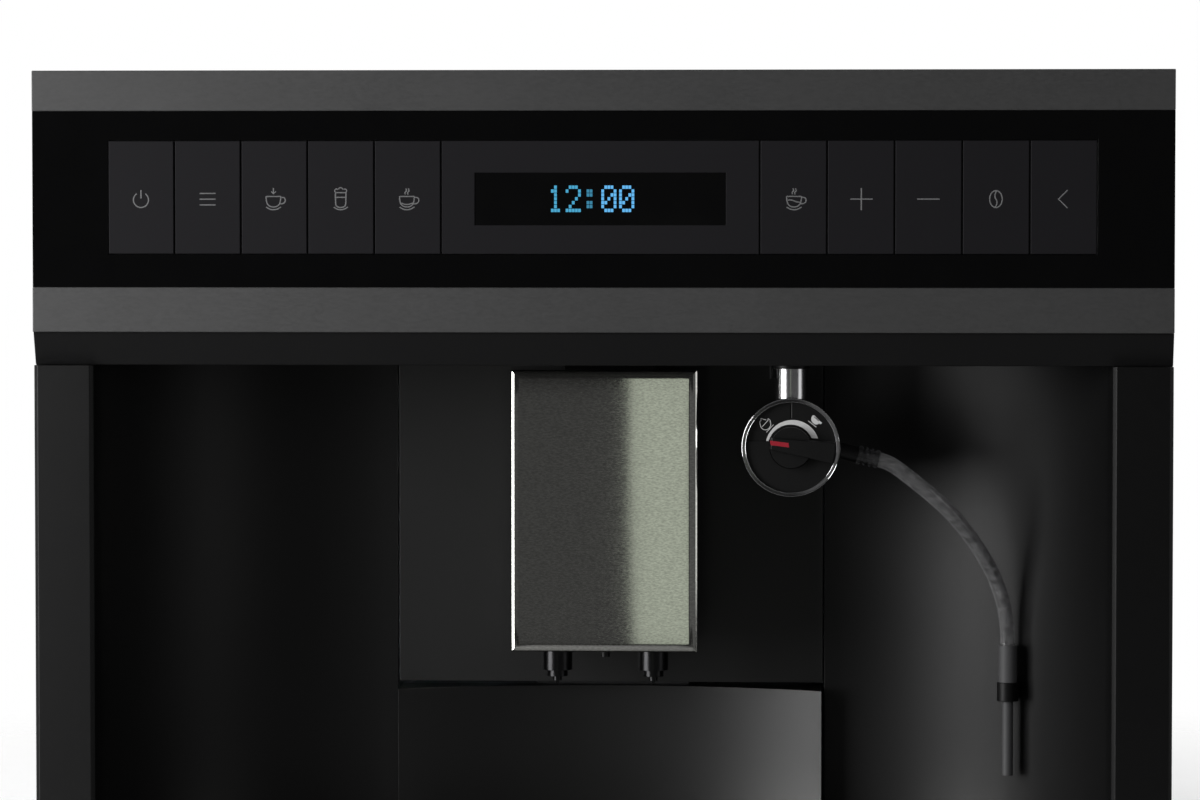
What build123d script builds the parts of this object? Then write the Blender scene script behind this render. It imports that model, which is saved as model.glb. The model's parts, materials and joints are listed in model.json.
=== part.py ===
from build123d import *
import os
from math import asin, atan2, cos, pi, radians, sin, sqrt, tan

# Built-in bean-to-cup coffee machine for a 600 mm wide, 450 mm high cabinet niche.
# Millimetres. X runs to the right, Y to the back and Z up. The origin is the middle of the
# bottom, at half the overall depth. "Depth" values are measured back from the front plane.

# ---- overall size ----
overall_width = 595.0
overall_height = 455.0
overall_depth = 530.0

# ---- general clearances and sheet ----
sliding_gap = 0.5          # between pieces that slide on each other
seam_gap = 0.8             # visible joint between two covers
sheet = 1.5                # steel sheet of the covers and the pan
rear_bump = 9.0            # spacers that keep the back off the cabinet wall
rear_bump_radius = 8.0

# ---- control panel, heights from the top edge down ----
upper_trim_height = 21.2
glass_height = 91.9
lower_trim_height = 23.5
skirt_height = 17.4
trim_thickness = 4.2
trim_return = 2.5          # thickness of the upper trim's top lip
glass_setback = 1.2
glass_thickness = 3.0
housing_depth = 25.0       # back edge of the panel housing
housing_wall = 2.5
housing_plate = 3.0
housing_inset = 0.2
skirt_setback = 2.0
skirt_slope = 7.0          # how much further back the skirt's lower edge lies
skirt_depth = 14.0

# ---- keys and display ----
keys_per_side = 5
key_row_margin = 39.85     # end of the panel to the key row
key_height = 58.85
key_gap = 0.8
key_row_drop = 15.6        # from the top of the glass to the key row
key_setback = 1.0
key_thickness = 2.2
key_corner = 0.5
key_travel = 0.8
stem_side = 9.0
stem_length = 12.8
display_panel_width = 165.9
display_window_width = 130.8
display_window_height = 27.3
display_window_drop = 16.6  # from the top of the display panel
window_setback = 1.4
module_margin = 7.4        # display module inside the window, on every side
board_depth = 21.0
board_thickness = 1.6
board_margin = 11.0
switch_side = 7.0
switch_gap = 0.1           # free play left when a key is fully pressed

# ---- cup bay ----
cheek_width = 31.5         # flat front edge on each side of the bay
bay_depth = 115.0          # front of the upright centre panel
bay_wall = 3.0
bay_side_front = 14.0      # depth where each curved side wall meets its cheek
centre_panel_width = 231.4
centre_panel_bottom = 124.6
cheek_setback = 2.0
cheek_round = 2.0
cheek_flange = 25.0
roof_thickness = 3.0
roof_flange = 2.8
guide_wall = 3.0
guide_width = 48.0
guide_depth = 25.0
guide_rise = 15.5          # its foot above the spout's lower edge

# ---- coffee spout ----
spout_width = 98.8
spout_height = 149.4
spout_top_gap = 3.6        # below the roof, at rest
spout_front = 40.0
spout_depth = 46.0
spout_sheet = 1.2
spout_round = 2.4
spout_lower = 5.0          # travel below the position at rest
carrier_gap = 0.3
carrier_wall = 3.0
carrier_base = 22.0
carrier_arm = 5.5
carrier_arm_height = 115.0
nozzle_spacing = 51.2
nozzle_depth = 54.0
nozzle_radius = 8.0
nozzle_length = 11.9
nozzle_ring_radius = 5.6
nozzle_ring_length = 3.4
nozzle_nub_radius = 2.4
nozzle_nub_length = 2.4
nozzle_tip_radius = 1.0
nozzle_tip_length = 2.4
nozzle_bore = 1.6
clamp_screw_radius = 2.5
clamp_screw_length = 3.8
clamp_flange_radius = 4.4
clamp_flange_length = 1.2

# ---- milk frother ----
frother_x = 99.1
frother_drop = 43.45       # its centre below the bay's roof
frother_ring_radius = 25.95
frother_ring_wall = 2.2
frother_ring_front = 26.0
frother_ring_length = 13.0
frother_body_front = 33.0
frother_body_length = 27.0
dial_front = 28.5
dial_step = 1.0            # the upper sector lies this much deeper
sector_rise = 3.2          # its lower edge above the dial's middle
dial_groove_width = 0.8    # upright groove at the top of the sector
dial_groove_depth = 0.5
dial_groove_start = 15.2   # from the dial's middle
lever_front = 20.0
lever_back_gap = 0.4
lever_hub_radius = 10.7
lever_hub_thickness = 4.6
lever_tip_reach = 11.2
lever_tail_reach = 23.25   # its end is an arc round the hub
lever_tip_height = 6.0
lever_tail_height = 10.9
lever_rise = 0.6           # the bar's middle line passes this much above the hub's middle
lever_tilt = 8.1           # degrees, pointer end up at the left stop
lever_pin_radius = 4.0
running_gap = 0.05         # radial, for turning pins in their bores
pipe_radius = 8.75
pipe_bore = 6.5
pipe_depth = 46.0
pipe_seat = 9.0            # how far the pipe goes into the frother
pipe_above_roof = 14.0
collar_radius = 9.9
collar_length = 2.6
collar_lug = 3.0
lug_length = 8.0
outlet_radius = 6.0
outlet_length = 12.0
hose_tilt = 13.4           # degrees below horizontal where the hose leaves
boss_radius = 4.2
boss_length = 20.0
connector_radius = 5.0
connector_length = 11.6
connector_groove = 0.7
connector_bore = 2.6

# ---- milk hose, suction tube and its clip ----
hose_diameter = 8.0
hose_lead = 5.5            # straight out of the connector
hose_drop = 14.0           # straight down into the suction tube
tube_radius = 3.0
tube_bore = 1.9
tube_collar_radius = 5.0
tube_collar_length = 20.0
tube_length = 70.0
tube_x = 214.6
tube_top = 150.0
clip_height = 10.0
clip_wall = 2.6
clip_gap = 0.1
clip_standoff = 9.0        # bay wall to tube axis

# ---- drip drawer ----
drawer_front_height = 42.5
drawer_front_bottom = 3.0
drawer_front_thickness = 12.0
grip_width = 120.0
grip_depth = 8.5
grip_height = 14.0
tray_beside = 16.0         # tray's side to the bay's side
tray_wall = 2.0
tray_height = 34.2
tray_standoff = 1.0        # behind the drawer front
grid_thickness = 2.0
grid_rim = 8.0
grid_gap = 2.0             # inside the bay walls and the curved panel
grid_slot_width = 4.0
grid_slot_length = 34.0
grid_slot_pitch = 11.0
grid_proud = 1.5           # of the tray's rim
front_arc_rise = 27.0      # how far the curved panel's middle lies behind its ends
front_arc_ends = 100.0
grounds_panel_gap = 3.0    # below the upright centre panel
grounds_panel_wall = 3.0
grounds_half_width = 100.0
grounds_behind_panel = 3.0
grounds_length = 167.0
grounds_top = 112.0
grounds_wall = 2.5

# ---- pull-out rails and mounting plate ----
mount_inset = 25.0         # each edge of the plate inside the front's ends
mount_front = 45.0
mount_back_inset = 12.0
mount_sheet = 2.0
mount_flange = 38.5
mount_hole_radius = 2.75
mount_hole_inset_x = 42.5  # from the plate's sides
mount_hole_inset_y = 46.5  # from its front and back edges
rail_web = 1.5
rail_gap = 1.0
rail_bottom = 6.0
rail_height = 32.0
rail_reach = 11.5

# ---- pan and covers ----
pan_bottom = 8.0
pan_flange_top = 41.5
cover_inset = 25.5         # side covers inside the front's ends
pan_front = 14.0
cover_drop = 12.0          # top cover below the top of the front
vent_count = 12
vent_length = 70.0
vent_width = 4.0
vent_pitch = 11.0
vent_height = 250.0
cover_flange = 30.0        # turned-in edges of the side covers
screw_head_radius = 3.6
screw_head_height = 2.0
screw_radius = 2.0
screw_length = 8.0
screw_hole_gap = 0.15
screw_inset = 22.0

# ---- inner frame and works ----
frame_plate = 3.0
frame_leg = 3.0
frame_over = 6.0           # clear height above the grounds container
frame_beside = 7.0         # and on each side of it
frame_behind = 12.0
works_gap = 2.0            # between neighbouring works
drop_half_width = 34.0
drop_length = 28.0
brew_half_width = 42.0
brew_length = 76.0
brew_head = 30.0           # chamber left above the raised piston
brew_bore = 24.0
brew_floor = 22.0
piston_height = 30.0
piston_travel = 30.0
piston_rod_radius = 6.0
piston_rod_length = 20.0
motor_radius = 30.0
motor_height = 100.0
grinder_radius = 40.0
grinder_height = 80.0
burr_seat_top = 31.0
burr_seat_bottom = 27.0
burr_floor = 14.0
burr_top_radius = 12.0
burr_bottom_radius = 24.0
burr_height = 40.0
burr_shaft_radius = 4.0
burr_shaft_length = 34.0
burr_rim = 3.0
motor_bore_depth = 22.0

# ---- bean hopper and its lid ----
hopper_length = 140.0
hopper_half_width = 75.0
hopper_wall = 2.5
hopper_collar = 18.0
hopper_throat = 22.0       # half side of the square throat
hopper_rim = 6.0
hopper_rim_thickness = 2.0
lid_thickness = 3.0
lid_gap = 0.3
lid_side_gap = 2.0
lug_x = 60.0
lug_width = 12.0
lug_height = 8.0
lug_length = 8.0
arm_width = 7.0
arm_gap = 0.6
lid_pin_radius = 1.5
knuckle_radius = 3.4

# ---- water tank ----
tank_width = 121.0
tank_length = 160.0
tank_height = 172.0
tank_wall = 2.2
tank_gap = 1.0
tank_behind_bay = 12.0
grip_slot_length = 90.0
grip_slot_height = 18.0
grip_slot_recess = 14.0

# ---- boiler, pump, electronics ----
boiler_beside = 12.0       # from the inner frame
boiler_width = 74.0
boiler_front = 150.0
boiler_length = 96.0
boiler_height = 62.0
boiler_foot = 12.0
pipe_stub_radius = 4.0
pipe_stub_length = 16.0
pump_behind = 34.0         # from the boiler
pump_radius = 21.0
pump_length = 92.0
pump_saddle = 8.0
saddle_width = 29.4
saddle_length = 55.2
power_board_inset = 42.5   # from the side cover
power_board_front = 300.0
power_board_length = 160.0
power_board_height = 180.0
board_foot = 8.0
inlet_inset = 67.0         # its middle inside the right side cover
inlet_z = 70.0
inlet_width = 27.0
inlet_height = 22.0
inlet_length = 24.0
inlet_cavity = 16.0
inlet_flange = 5.0
inlet_pin_spacing = 7.0
inlet_pin_height = 4.0
inlet_pin_rise = 2.0       # middle pin above the socket's centre, the others below

# ---- places worked out from the sizes above ----
front_y = -overall_depth / 2
half_width = overall_width / 2
glass_top = overall_height - upper_trim_height
glass_bottom = glass_top - glass_height
lower_trim_bottom = glass_bottom - lower_trim_height
roof_z = lower_trim_bottom - skirt_height
housing_top = overall_height - trim_return
key_row_top = glass_top - key_row_drop
key_row_bottom = key_row_top - key_height
key_row_half = half_width - key_row_margin
key_pitch = (key_row_half - display_panel_width / 2) / keys_per_side
window_top = key_row_top - display_window_drop
window_bottom = window_top - display_window_height
key_z = (key_row_top + key_row_bottom) / 2
bay_half = half_width - cheek_width
bay_inner = centre_panel_width / 2 + seam_gap
pan_top = pan_bottom + sheet
tray_bottom = pan_top + carrier_gap
tray_top = tray_bottom + tray_height
grid_top = tray_top + grid_proud
drawer_top = drawer_front_bottom + drawer_front_height
tray_front = drawer_front_thickness + tray_standoff
tray_half = bay_half - tray_beside
tray_back = front_arc_ends + front_arc_rise - grid_gap + sliding_gap + tray_wall
bay_bottom = max(grid_top, drawer_top) + 2.0
spout_top = roof_z - spout_top_gap
spout_bottom = spout_top - spout_height
spout_back = spout_front + spout_depth
guide_bottom = spout_bottom + guide_rise
frother_z = roof_z - frother_drop
guide_front = bay_depth - guide_depth
back_sheet = overall_depth - rear_bump
mount_edge = half_width - mount_inset
mount_back = overall_depth - mount_back_inset
rail_outer = mount_edge - mount_sheet
pan_side = rail_outer - rail_reach - rail_gap
cover_outer = half_width - cover_inset
cover_top = overall_height - cover_drop
rim_z = cover_top + sheet
grounds_front_depth = front_arc_ends + front_arc_rise + grounds_panel_wall + grounds_behind_panel
grounds_back_depth = grounds_front_depth + grounds_length
frame_base = grounds_top + frame_over
frame_top = frame_base + frame_plate
frame_front = grounds_front_depth + 2 * sliding_gap
frame_back = grounds_back_depth + frame_behind
frame_half_width = grounds_half_width + frame_beside + frame_leg
brew_front = frame_front + works_gap
brew_back = brew_front + brew_length
brew_height = brew_floor + piston_height + piston_travel + brew_head
grinder_depth = brew_back + works_gap + grinder_radius
motor_top = frame_top + motor_height
grinder_top = motor_top + grinder_height
hopper_front = grinder_depth - hopper_length / 2
hopper_back = grinder_depth + hopper_length / 2
tank_front = bay_depth + bay_wall + tank_behind_bay
tank_back = tank_front + tank_length
boiler_x = frame_half_width + boiler_beside
pump_x = boiler_x + boiler_width / 2
pump_front = boiler_front + boiler_length + pump_behind
power_board_x = cover_outer - sheet - power_board_inset
inlet_x = cover_outer - inlet_inset
parts_folder = "parts"


def block(x, depth, z):
    """A box from (low, high) pairs; depth is measured back from the front plane."""
    size = [high - low for low, high in (x, depth, z)]
    middle = [(low + high) / 2 for low, high in (x, depth, z)]
    return Pos(middle[0], front_y + middle[1], middle[2]) * Box(*size)


def upright(radius, x, depth, z):
    """A cylinder standing along Z over the (low, high) pair z."""
    return Pos(x, front_y + depth, (z[0] + z[1]) / 2) * Cylinder(radius, z[1] - z[0])


def level_y(radius, x, depth, z):
    """A cylinder lying along Y over the (low, high) pair depth."""
    middle = Pos(x, front_y + (depth[0] + depth[1]) / 2, z)
    return middle * Rot(90, 0, 0) * Cylinder(radius, depth[1] - depth[0])


def level_x(radius, x, depth, z):
    """A cylinder lying along X over the (low, high) pair x."""
    middle = Pos((x[0] + x[1]) / 2, front_y + depth, z)
    return middle * Rot(0, 90, 0) * Cylinder(radius, x[1] - x[0])


def plan_solid(wire, z):
    """A closed plan outline, drawn as (x, depth) at Z 0, raised over the pair z."""
    return Pos(0, front_y, z[0]) * extrude(make_face(wire), z[1] - z[0], dir=(0, 0, 1))


def across(points, x):
    """A section drawn as (depth, z) points, extruded along X over the pair x."""
    corners = [Vector(x[0], front_y + depth, z) for depth, z in points]
    face = make_face(Polyline(*corners, close=True))
    return extrude(face, x[1] - x[0], dir=(1, 0, 0))


def both_sides(solid):
    """The solid and its mirror image about the middle plane."""
    return [solid, mirror(solid, Plane.YZ)]


def save(node, *solids):
    """Writes one node as its own STEP file."""
    shape = solids[0] if len(solids) == 1 else Compound(children=list(solids))
    export_step(shape, os.path.join(parts_folder, node + ".step"))


# ---- mounting plate and rails ----
def mounting_plate():
    depth = (mount_front, mount_back)
    plate = block((-mount_edge, mount_edge), depth, (0, mount_sheet))
    for side in (-1, 1):
        low, high = sorted((side * mount_edge, side * (mount_edge - mount_sheet)))
        plate += block((low, high), depth, (0, mount_flange))
    hole_x = mount_edge - mount_hole_inset_x
    for x in (-hole_x, hole_x):
        for hole_y in (mount_front + mount_hole_inset_y, mount_back - mount_hole_inset_y):
            plate -= upright(mount_hole_radius, x, hole_y, (0, mount_sheet))
    return plate


def rail(outer, reach, low, high):
    """One C-shaped rail member on the right side, open towards the middle."""
    depth = (mount_front, mount_back)
    member = block((outer - rail_web, outer), depth, (low, high))
    member += block((outer - reach, outer), depth, (low, low + rail_web))
    member += block((outer - reach, outer), depth, (high - rail_web, high))
    return member


def rails():
    """The three nested members: fixed, middle and sliding, for both sides."""
    step = rail_web + rail_gap
    for level, node in enumerate(("fixed_rails", "middle_rails", "sliding_rails")):
        outer = rail_outer - level * step
        inner = pan_side if level == 2 else pan_side + rail_gap
        low = rail_bottom + level * step
        high = rail_bottom + rail_height - level * step
        save(node, *both_sides(rail(outer, outer - inner, low, high)))


# ---- pan, covers and screws ----
def base_pan():
    floor = (pan_bottom, pan_top)
    depth = (pan_front, back_sheet)
    pan = block((-pan_side, pan_side), depth, floor)
    for side in (-1, 1):
        wall = sorted((side * pan_side, side * (pan_side - sheet)))
        flange = sorted((side * (pan_side - sheet), side * cover_outer))
        pan += block(wall, depth, (pan_bottom, pan_flange_top))
        pan += block(flange, depth, (pan_flange_top - sheet, pan_flange_top))
    pan += block((-pan_side, pan_side), (back_sheet - sheet, back_sheet), (pan_bottom, pan_flange_top))
    return pan


def side_cover(side):
    height = (pan_flange_top, cover_top)
    wall = sorted((side * (cover_outer - sheet), side * cover_outer))
    flange = sorted((side * (cover_outer - sheet), side * (half_width - cheek_round)))
    cover = block(wall, (cheek_flange, back_sheet), height)
    cover += block(flange, (cheek_flange, cheek_flange + sheet), height)
    turned_in = sorted((side * (cover_outer - cover_flange), side * (cover_outer - sheet)))
    cover += block(turned_in, (cheek_flange, back_sheet - sheet), (cover_top - sheet, cover_top))
    cover += block(turned_in, (back_sheet - 2 * sheet, back_sheet - sheet), height)
    cover -= screw_bars(screw_radius + screw_hole_gap, -screw_length)
    if side < 0:
        opening = (pan_flange_top, pan_flange_top + tank_height + 2 * tank_gap)
        cover -= block(wall, (tank_front - tank_gap, tank_back + tank_gap), opening)
    return cover


def rear_cover():
    edge = cover_outer - sheet
    cover = block((-edge, edge), (back_sheet - sheet, back_sheet), (pan_flange_top, cover_top))
    for i in range(vent_count):
        x = (i - (vent_count - 1) / 2) * vent_pitch
        z = (vent_height - vent_length / 2, vent_height + vent_length / 2)
        slot = (x - vent_width / 2, x + vent_width / 2)
        cover -= block(slot, (back_sheet - sheet, back_sheet), z)
    half = (inlet_width / 2, inlet_height / 2)
    hole_x = (inlet_x - half[0] - clip_gap, inlet_x + half[0] + clip_gap)
    hole_z = (inlet_z - half[1] - clip_gap, inlet_z + half[1] + clip_gap)
    cover -= block(hole_x, (back_sheet - sheet, back_sheet), hole_z)
    bump_x = edge - 2 * screw_inset
    for x in (-bump_x, bump_x):
        for z in (pan_flange_top + 3 * screw_inset, cover_top - 2 * screw_inset):
            cover += level_y(rear_bump_radius, x, (back_sheet, overall_depth), z)
    return cover - screw_bars(screw_radius + screw_hole_gap, -screw_length)


def top_cover():
    cover = block((-cover_outer, cover_outer), (housing_depth, back_sheet), (cover_top, rim_z))
    opening_x = (-hopper_half_width - clip_gap, hopper_half_width + clip_gap)
    opening_y = (hopper_front - clip_gap, hopper_back + clip_gap)
    cover -= block(opening_x, opening_y, (cover_top, rim_z))
    return cover - screw_bars(screw_radius + screw_hole_gap, -screw_length)


def screw_bars(radius, reach):
    """A bar at every cover screw, from the cover's face outwards, or inwards if reach is negative."""
    bars = []
    edge = cover_outer - screw_inset
    top = sorted((rim_z, rim_z + reach))
    back = sorted((back_sheet, back_sheet + reach))
    depths = (housing_depth + screw_inset, (housing_depth + back_sheet) / 2, back_sheet - screw_inset)
    for x in (-edge, edge):
        bars += [upright(radius, x, depth, top) for depth in depths]
        for z in (pan_flange_top + screw_inset, cover_top - screw_inset):
            bars.append(level_y(radius, x, back, z))
    return bars


def cover_screws():
    """Pan-head screws that hold the top cover down and the rear cover on."""
    heads = screw_bars(screw_head_radius, screw_head_height)
    shanks = screw_bars(screw_radius, -screw_length)
    return [head + shank for head, shank in zip(heads, shanks)]


# ---- cup bay ----
def bay_arc():
    """Radius and centre depth of the curved side walls, tangent to the centre panel."""
    run = bay_half - bay_inner
    drop = bay_depth - sheet / 2 - bay_side_front
    radius = (run**2 + drop**2) / (2 * drop)
    return radius, bay_depth - sheet / 2 - radius


def bay_wall_depth(x):
    """Depth of the curved wall's visible face at a distance x from the middle."""
    radius, centre = bay_arc()
    return centre + sqrt(radius**2 - (x - bay_inner) ** 2)


def tube_depth():
    """Depth of the parked suction tube's axis, a set distance off the curved wall."""
    radius, centre = bay_arc()
    return centre + sqrt((radius - clip_standoff) ** 2 - (tube_x - bay_inner) ** 2)


def bay_side():
    """The right-hand curved wall with its cheek; the left one is its mirror image."""
    radius, centre = bay_arc()
    outer = radius + bay_wall
    start_depth = bay_wall_depth(bay_inner)
    half_turn = asin((bay_half - bay_inner) / radius) / 2
    front_middle = (bay_inner + radius * sin(half_turn), centre + radius * cos(half_turn))
    end_turn = atan2(sqrt(outer**2 - (cheek_flange - centre) ** 2), cheek_flange - centre)
    back_middle = (bay_inner + outer * sin(end_turn / 2), centre + outer * cos(end_turn / 2))
    back_end = (bay_inner + outer * sin(end_turn), cheek_flange)
    front = ThreePointArc((bay_inner, start_depth), front_middle, (bay_half, bay_side_front))
    cheek = Polyline(
        (bay_half, bay_side_front),
        (bay_half, cheek_setback + cheek_round),
        (bay_half + cheek_round, cheek_setback),
        (half_width - cheek_round, cheek_setback),
        (half_width, cheek_setback + cheek_round),
        (half_width, cheek_flange),
        back_end,
    )
    back = ThreePointArc(back_end, back_middle, (bay_inner, start_depth + bay_wall))
    closing = Line((bay_inner, start_depth + bay_wall), (bay_inner, start_depth))
    wall = plan_solid(Wire([front, *cheek.edges(), back, closing]), (bay_bottom, roof_z))
    leg = (skirt_depth + clip_gap, cheek_flange)
    wall += block((bay_half, cover_outer), leg, (pan_flange_top, bay_bottom))
    wall += block((bay_half + sheet, half_width), leg, (roof_z, lower_trim_bottom))
    return wall


def tube_clip():
    """The moulded ring on the right wall that parks the suction tube."""
    depth = tube_depth()
    ring = tube_radius + clip_gap + clip_wall
    z = (tube_top - tube_collar_length - clip_height, tube_top - tube_collar_length)
    web = (depth, bay_wall_depth(tube_x) + bay_wall / 2)
    clip = upright(ring, tube_x, depth, z) + block((tube_x - clip_wall, tube_x + clip_wall), web, z)
    return clip - upright(tube_radius + clip_gap, tube_x, depth, z)


def bay_centre_panel():
    edge = centre_panel_width / 2
    panel = block((-edge, edge), (bay_depth, bay_depth + bay_wall), (centre_panel_bottom, roof_z))
    guide = block((-guide_width / 2, guide_width / 2), (guide_front, bay_depth), (guide_bottom, roof_z))
    inner = guide_width / 2 - guide_wall
    hollow = (guide_front + guide_wall, bay_depth + bay_wall)
    panel += guide
    panel -= block((-inner, inner), hollow, (guide_bottom + guide_wall, roof_z - guide_wall))
    return panel + bay_roof()


def bay_roof():
    """Top of the cup bay, one moulding with the upright centre panel."""
    edge = bay_half + sheet - clip_gap
    front = skirt_depth + clip_gap
    plate = block((-edge, edge), (front, bay_depth + bay_wall), (roof_z, roof_z + roof_thickness))
    plate += block((-edge, edge), (front, front + roof_flange), (roof_z, lower_trim_bottom))
    spout_half = spout_width / 2 + 3 * sliding_gap
    way_up = (spout_front - 3 * sliding_gap, bay_depth - sliding_gap)
    height = (roof_z, roof_z + roof_thickness)
    plate -= block((-spout_half, spout_half), way_up, height)
    return plate - upright(pipe_radius + clip_gap, frother_x, pipe_depth, height)


# ---- control panel ----
def key_places():
    """Middle X of each key, left to right."""
    first = display_panel_width / 2 + key_pitch / 2
    right = [first + i * key_pitch for i in range(keys_per_side)]
    return [-x for x in reversed(right)] + right


def key_cap(x):
    half = (key_pitch - key_gap) / 2
    depth = (key_setback, key_setback + key_thickness)
    cap = block((x - half, x + half), depth, (key_row_bottom, key_row_top))
    cap = fillet(cap.faces().sort_by(Axis.Y)[0].edges(), key_corner)
    back = key_setback + key_thickness
    stem = (x - stem_side / 2, x + stem_side / 2)
    return cap + block(stem, (back, back + stem_length), (key_z - stem_side / 2, key_z + stem_side / 2))


def control_housing():
    edge = half_width - housing_inset
    x = (-edge, edge)
    plate_back = trim_thickness + housing_plate
    z = (lower_trim_bottom, housing_top)
    housing = block(x, (trim_thickness, housing_depth), z)
    inner_z = (lower_trim_bottom + housing_wall, housing_top - housing_wall)
    housing -= block((-edge + housing_wall, edge - housing_wall), (plate_back, housing_depth), inner_z)
    opening = stem_side / 2 + sliding_gap
    plate_depth = (trim_thickness, plate_back)
    for key_x in key_places():
        hole = (key_x - opening, key_x + opening)
        housing -= block(hole, plate_depth, (key_z - opening, key_z + opening))
    module_half = display_window_width / 2 - module_margin + sliding_gap
    module_z = (window_bottom + sliding_gap, window_top - sliding_gap)
    return housing - block((-module_half, module_half), plate_depth, module_z)


def panel_glass():
    depth = (glass_setback, glass_setback + glass_thickness)
    glass = block((-half_width, half_width), depth, (glass_bottom, glass_top))
    opening = (key_row_bottom - key_gap / 2, key_row_top + key_gap / 2)
    return glass - block((-key_row_half, key_row_half), depth, opening)


def upper_trim():
    x = (-half_width, half_width)
    trim = block(x, (0, trim_thickness), (glass_top, overall_height))
    return trim + block(x, (0, housing_depth), (housing_top, overall_height))


def lower_trim():
    return block((-half_width, half_width), (0, trim_thickness), (lower_trim_bottom, glass_bottom))


def panel_skirt():
    points = [
        (skirt_setback, lower_trim_bottom),
        (skirt_setback + skirt_slope, roof_z),
        (skirt_depth, roof_z),
        (skirt_depth, lower_trim_bottom),
    ]
    return across(points, (-half_width, half_width))


def display_surround():
    edge = (display_panel_width - key_gap) / 2
    depth = (key_setback, trim_thickness)
    surround = block((-edge, edge), depth, (key_row_bottom, key_row_top))
    window = (-display_window_width / 2, display_window_width / 2)
    return surround - block(window, depth, (window_bottom, window_top))


def display_window():
    edge = display_window_width / 2
    return block((-edge, edge), (window_setback, trim_thickness), (window_bottom, window_top))


def control_board():
    edge = key_row_half + board_margin
    depth = (board_depth, board_depth + board_thickness)
    inner = (lower_trim_bottom + housing_wall, cover_top - housing_wall)
    board = block((-edge, edge), depth, (inner[0] + sliding_gap, inner[1] - sliding_gap))
    switch_front = key_setback + key_thickness + stem_length + key_travel + switch_gap
    for x in key_places():
        side = (x - switch_side / 2, x + switch_side / 2)
        height = (key_z - switch_side / 2, key_z + switch_side / 2)
        board += block(side, (switch_front, board_depth), height)
    module = display_window_width / 2 - module_margin
    height = (window_bottom + 2 * sliding_gap, window_top - 2 * sliding_gap)
    board += block((-module, module), (trim_thickness + clip_gap, board_depth), height)
    post_z = (inner[0] + housing_wall, inner[1] - housing_wall)
    plate_back = trim_thickness + housing_plate
    for x in (-edge + board_margin / 2, edge - board_margin / 2):
        for z in post_z:
            board += level_y(housing_wall, x, (plate_back, board_depth), z)
    return board


# ---- coffee spout ----
def spout_cover():
    half = spout_width / 2
    outer = block((-half, half), (spout_front, spout_back), (spout_bottom, spout_top))
    front = outer.faces().sort_by(Axis.Y)[0].edges()
    outer = fillet(front, spout_round)
    inner_x = (-half + spout_sheet, half - spout_sheet)
    inner_y = (spout_front + spout_sheet, spout_back)
    inner = block(inner_x, inner_y, (spout_bottom, spout_top - spout_sheet))
    return outer - fillet(inner.faces().sort_by(Axis.Y)[0].edges(), spout_round - spout_sheet)


def spout_carrier():
    half = spout_width / 2 - spout_sheet - carrier_gap
    top = spout_top - spout_sheet - carrier_gap
    bottom = spout_bottom + spout_sheet
    front = spout_front + spout_sheet + spout_round
    back = guide_front - sliding_gap
    carrier = block((-half, half), (front, back), (bottom, top))
    arm_low = guide_bottom + spout_lower + sliding_gap
    arm_z = (arm_low, arm_low + carrier_arm_height)
    for side in (-1, 1):
        inner = guide_width / 2 + sliding_gap
        arm = sorted((side * inner, side * (inner + carrier_arm)))
        carrier += block(arm, (back, bay_depth - 2 * sliding_gap), arm_z)
    pocket_y = (front + carrier_wall, back - carrier_wall)
    for side in (-1, 1):
        pocket_x = sorted((side * carrier_wall, side * (half - carrier_wall)))
        carrier -= block(pocket_x, pocket_y, (bottom + carrier_base, top))
    chamber_x = (-nozzle_spacing / 2 - nozzle_bore, nozzle_spacing / 2 + nozzle_bore)
    duct = (nozzle_depth - 2 * nozzle_bore, nozzle_depth + 2 * nozzle_bore)
    duct_z = (bottom + 4 * nozzle_bore, bottom + 10 * nozzle_bore)
    carrier -= block(chamber_x, duct, duct_z)
    for x in (-nozzle_spacing / 2, nozzle_spacing / 2):
        carrier -= upright(nozzle_bore, x, nozzle_depth, (bottom, duct_z[0] + nozzle_bore))
    carrier -= upright(2 * nozzle_bore, 0, nozzle_depth, (duct_z[1] - nozzle_bore, top))
    flange = (bottom - clamp_flange_length - spout_sheet, bottom)
    carrier += upright(clamp_flange_radius, 0, nozzle_depth, flange)
    screw = (bottom - clamp_screw_length - spout_sheet, bottom)
    return carrier + upright(clamp_screw_radius, 0, nozzle_depth, screw)


def spout_nozzle(x):
    bottom = spout_bottom + spout_sheet
    stages = (
        (nozzle_radius, nozzle_length),
        (nozzle_ring_radius, nozzle_ring_length),
        (nozzle_nub_radius, nozzle_nub_length),
    )
    nozzle = None
    for radius, length in stages:
        stage = upright(radius, x, nozzle_depth, (bottom - length, bottom))
        nozzle = stage if nozzle is None else nozzle + stage
        bottom -= length
    tip = Pos(x, front_y + nozzle_depth, bottom - nozzle_tip_length / 2)
    nozzle += tip * Cone(nozzle_tip_radius / 4, nozzle_tip_radius, nozzle_tip_length)
    for offset in (-nozzle_nub_radius * 1.5, nozzle_nub_radius * 1.5):
        drilled = (bottom + nozzle_nub_length, spout_bottom + spout_sheet)
        nozzle -= upright(nozzle_bore / 2, x + offset, nozzle_depth, drilled)
    return nozzle


# ---- milk frother ----
def steam_pipe():
    low = frother_z + frother_ring_radius - pipe_seat
    pipe = upright(pipe_radius, frother_x, pipe_depth, (low, roof_z + pipe_above_roof))
    collar_z = (roof_z - collar_length, roof_z)
    pipe += upright(collar_radius, frother_x, pipe_depth, collar_z)
    lug = (frother_x - collar_radius - collar_lug / 2, frother_x)
    lug_z = (roof_z - lug_length, roof_z)
    pipe += block(lug, (pipe_depth - collar_lug, pipe_depth + collar_lug), lug_z)
    return pipe - upright(pipe_bore, frother_x, pipe_depth, (low, roof_z + pipe_above_roof))


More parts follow.
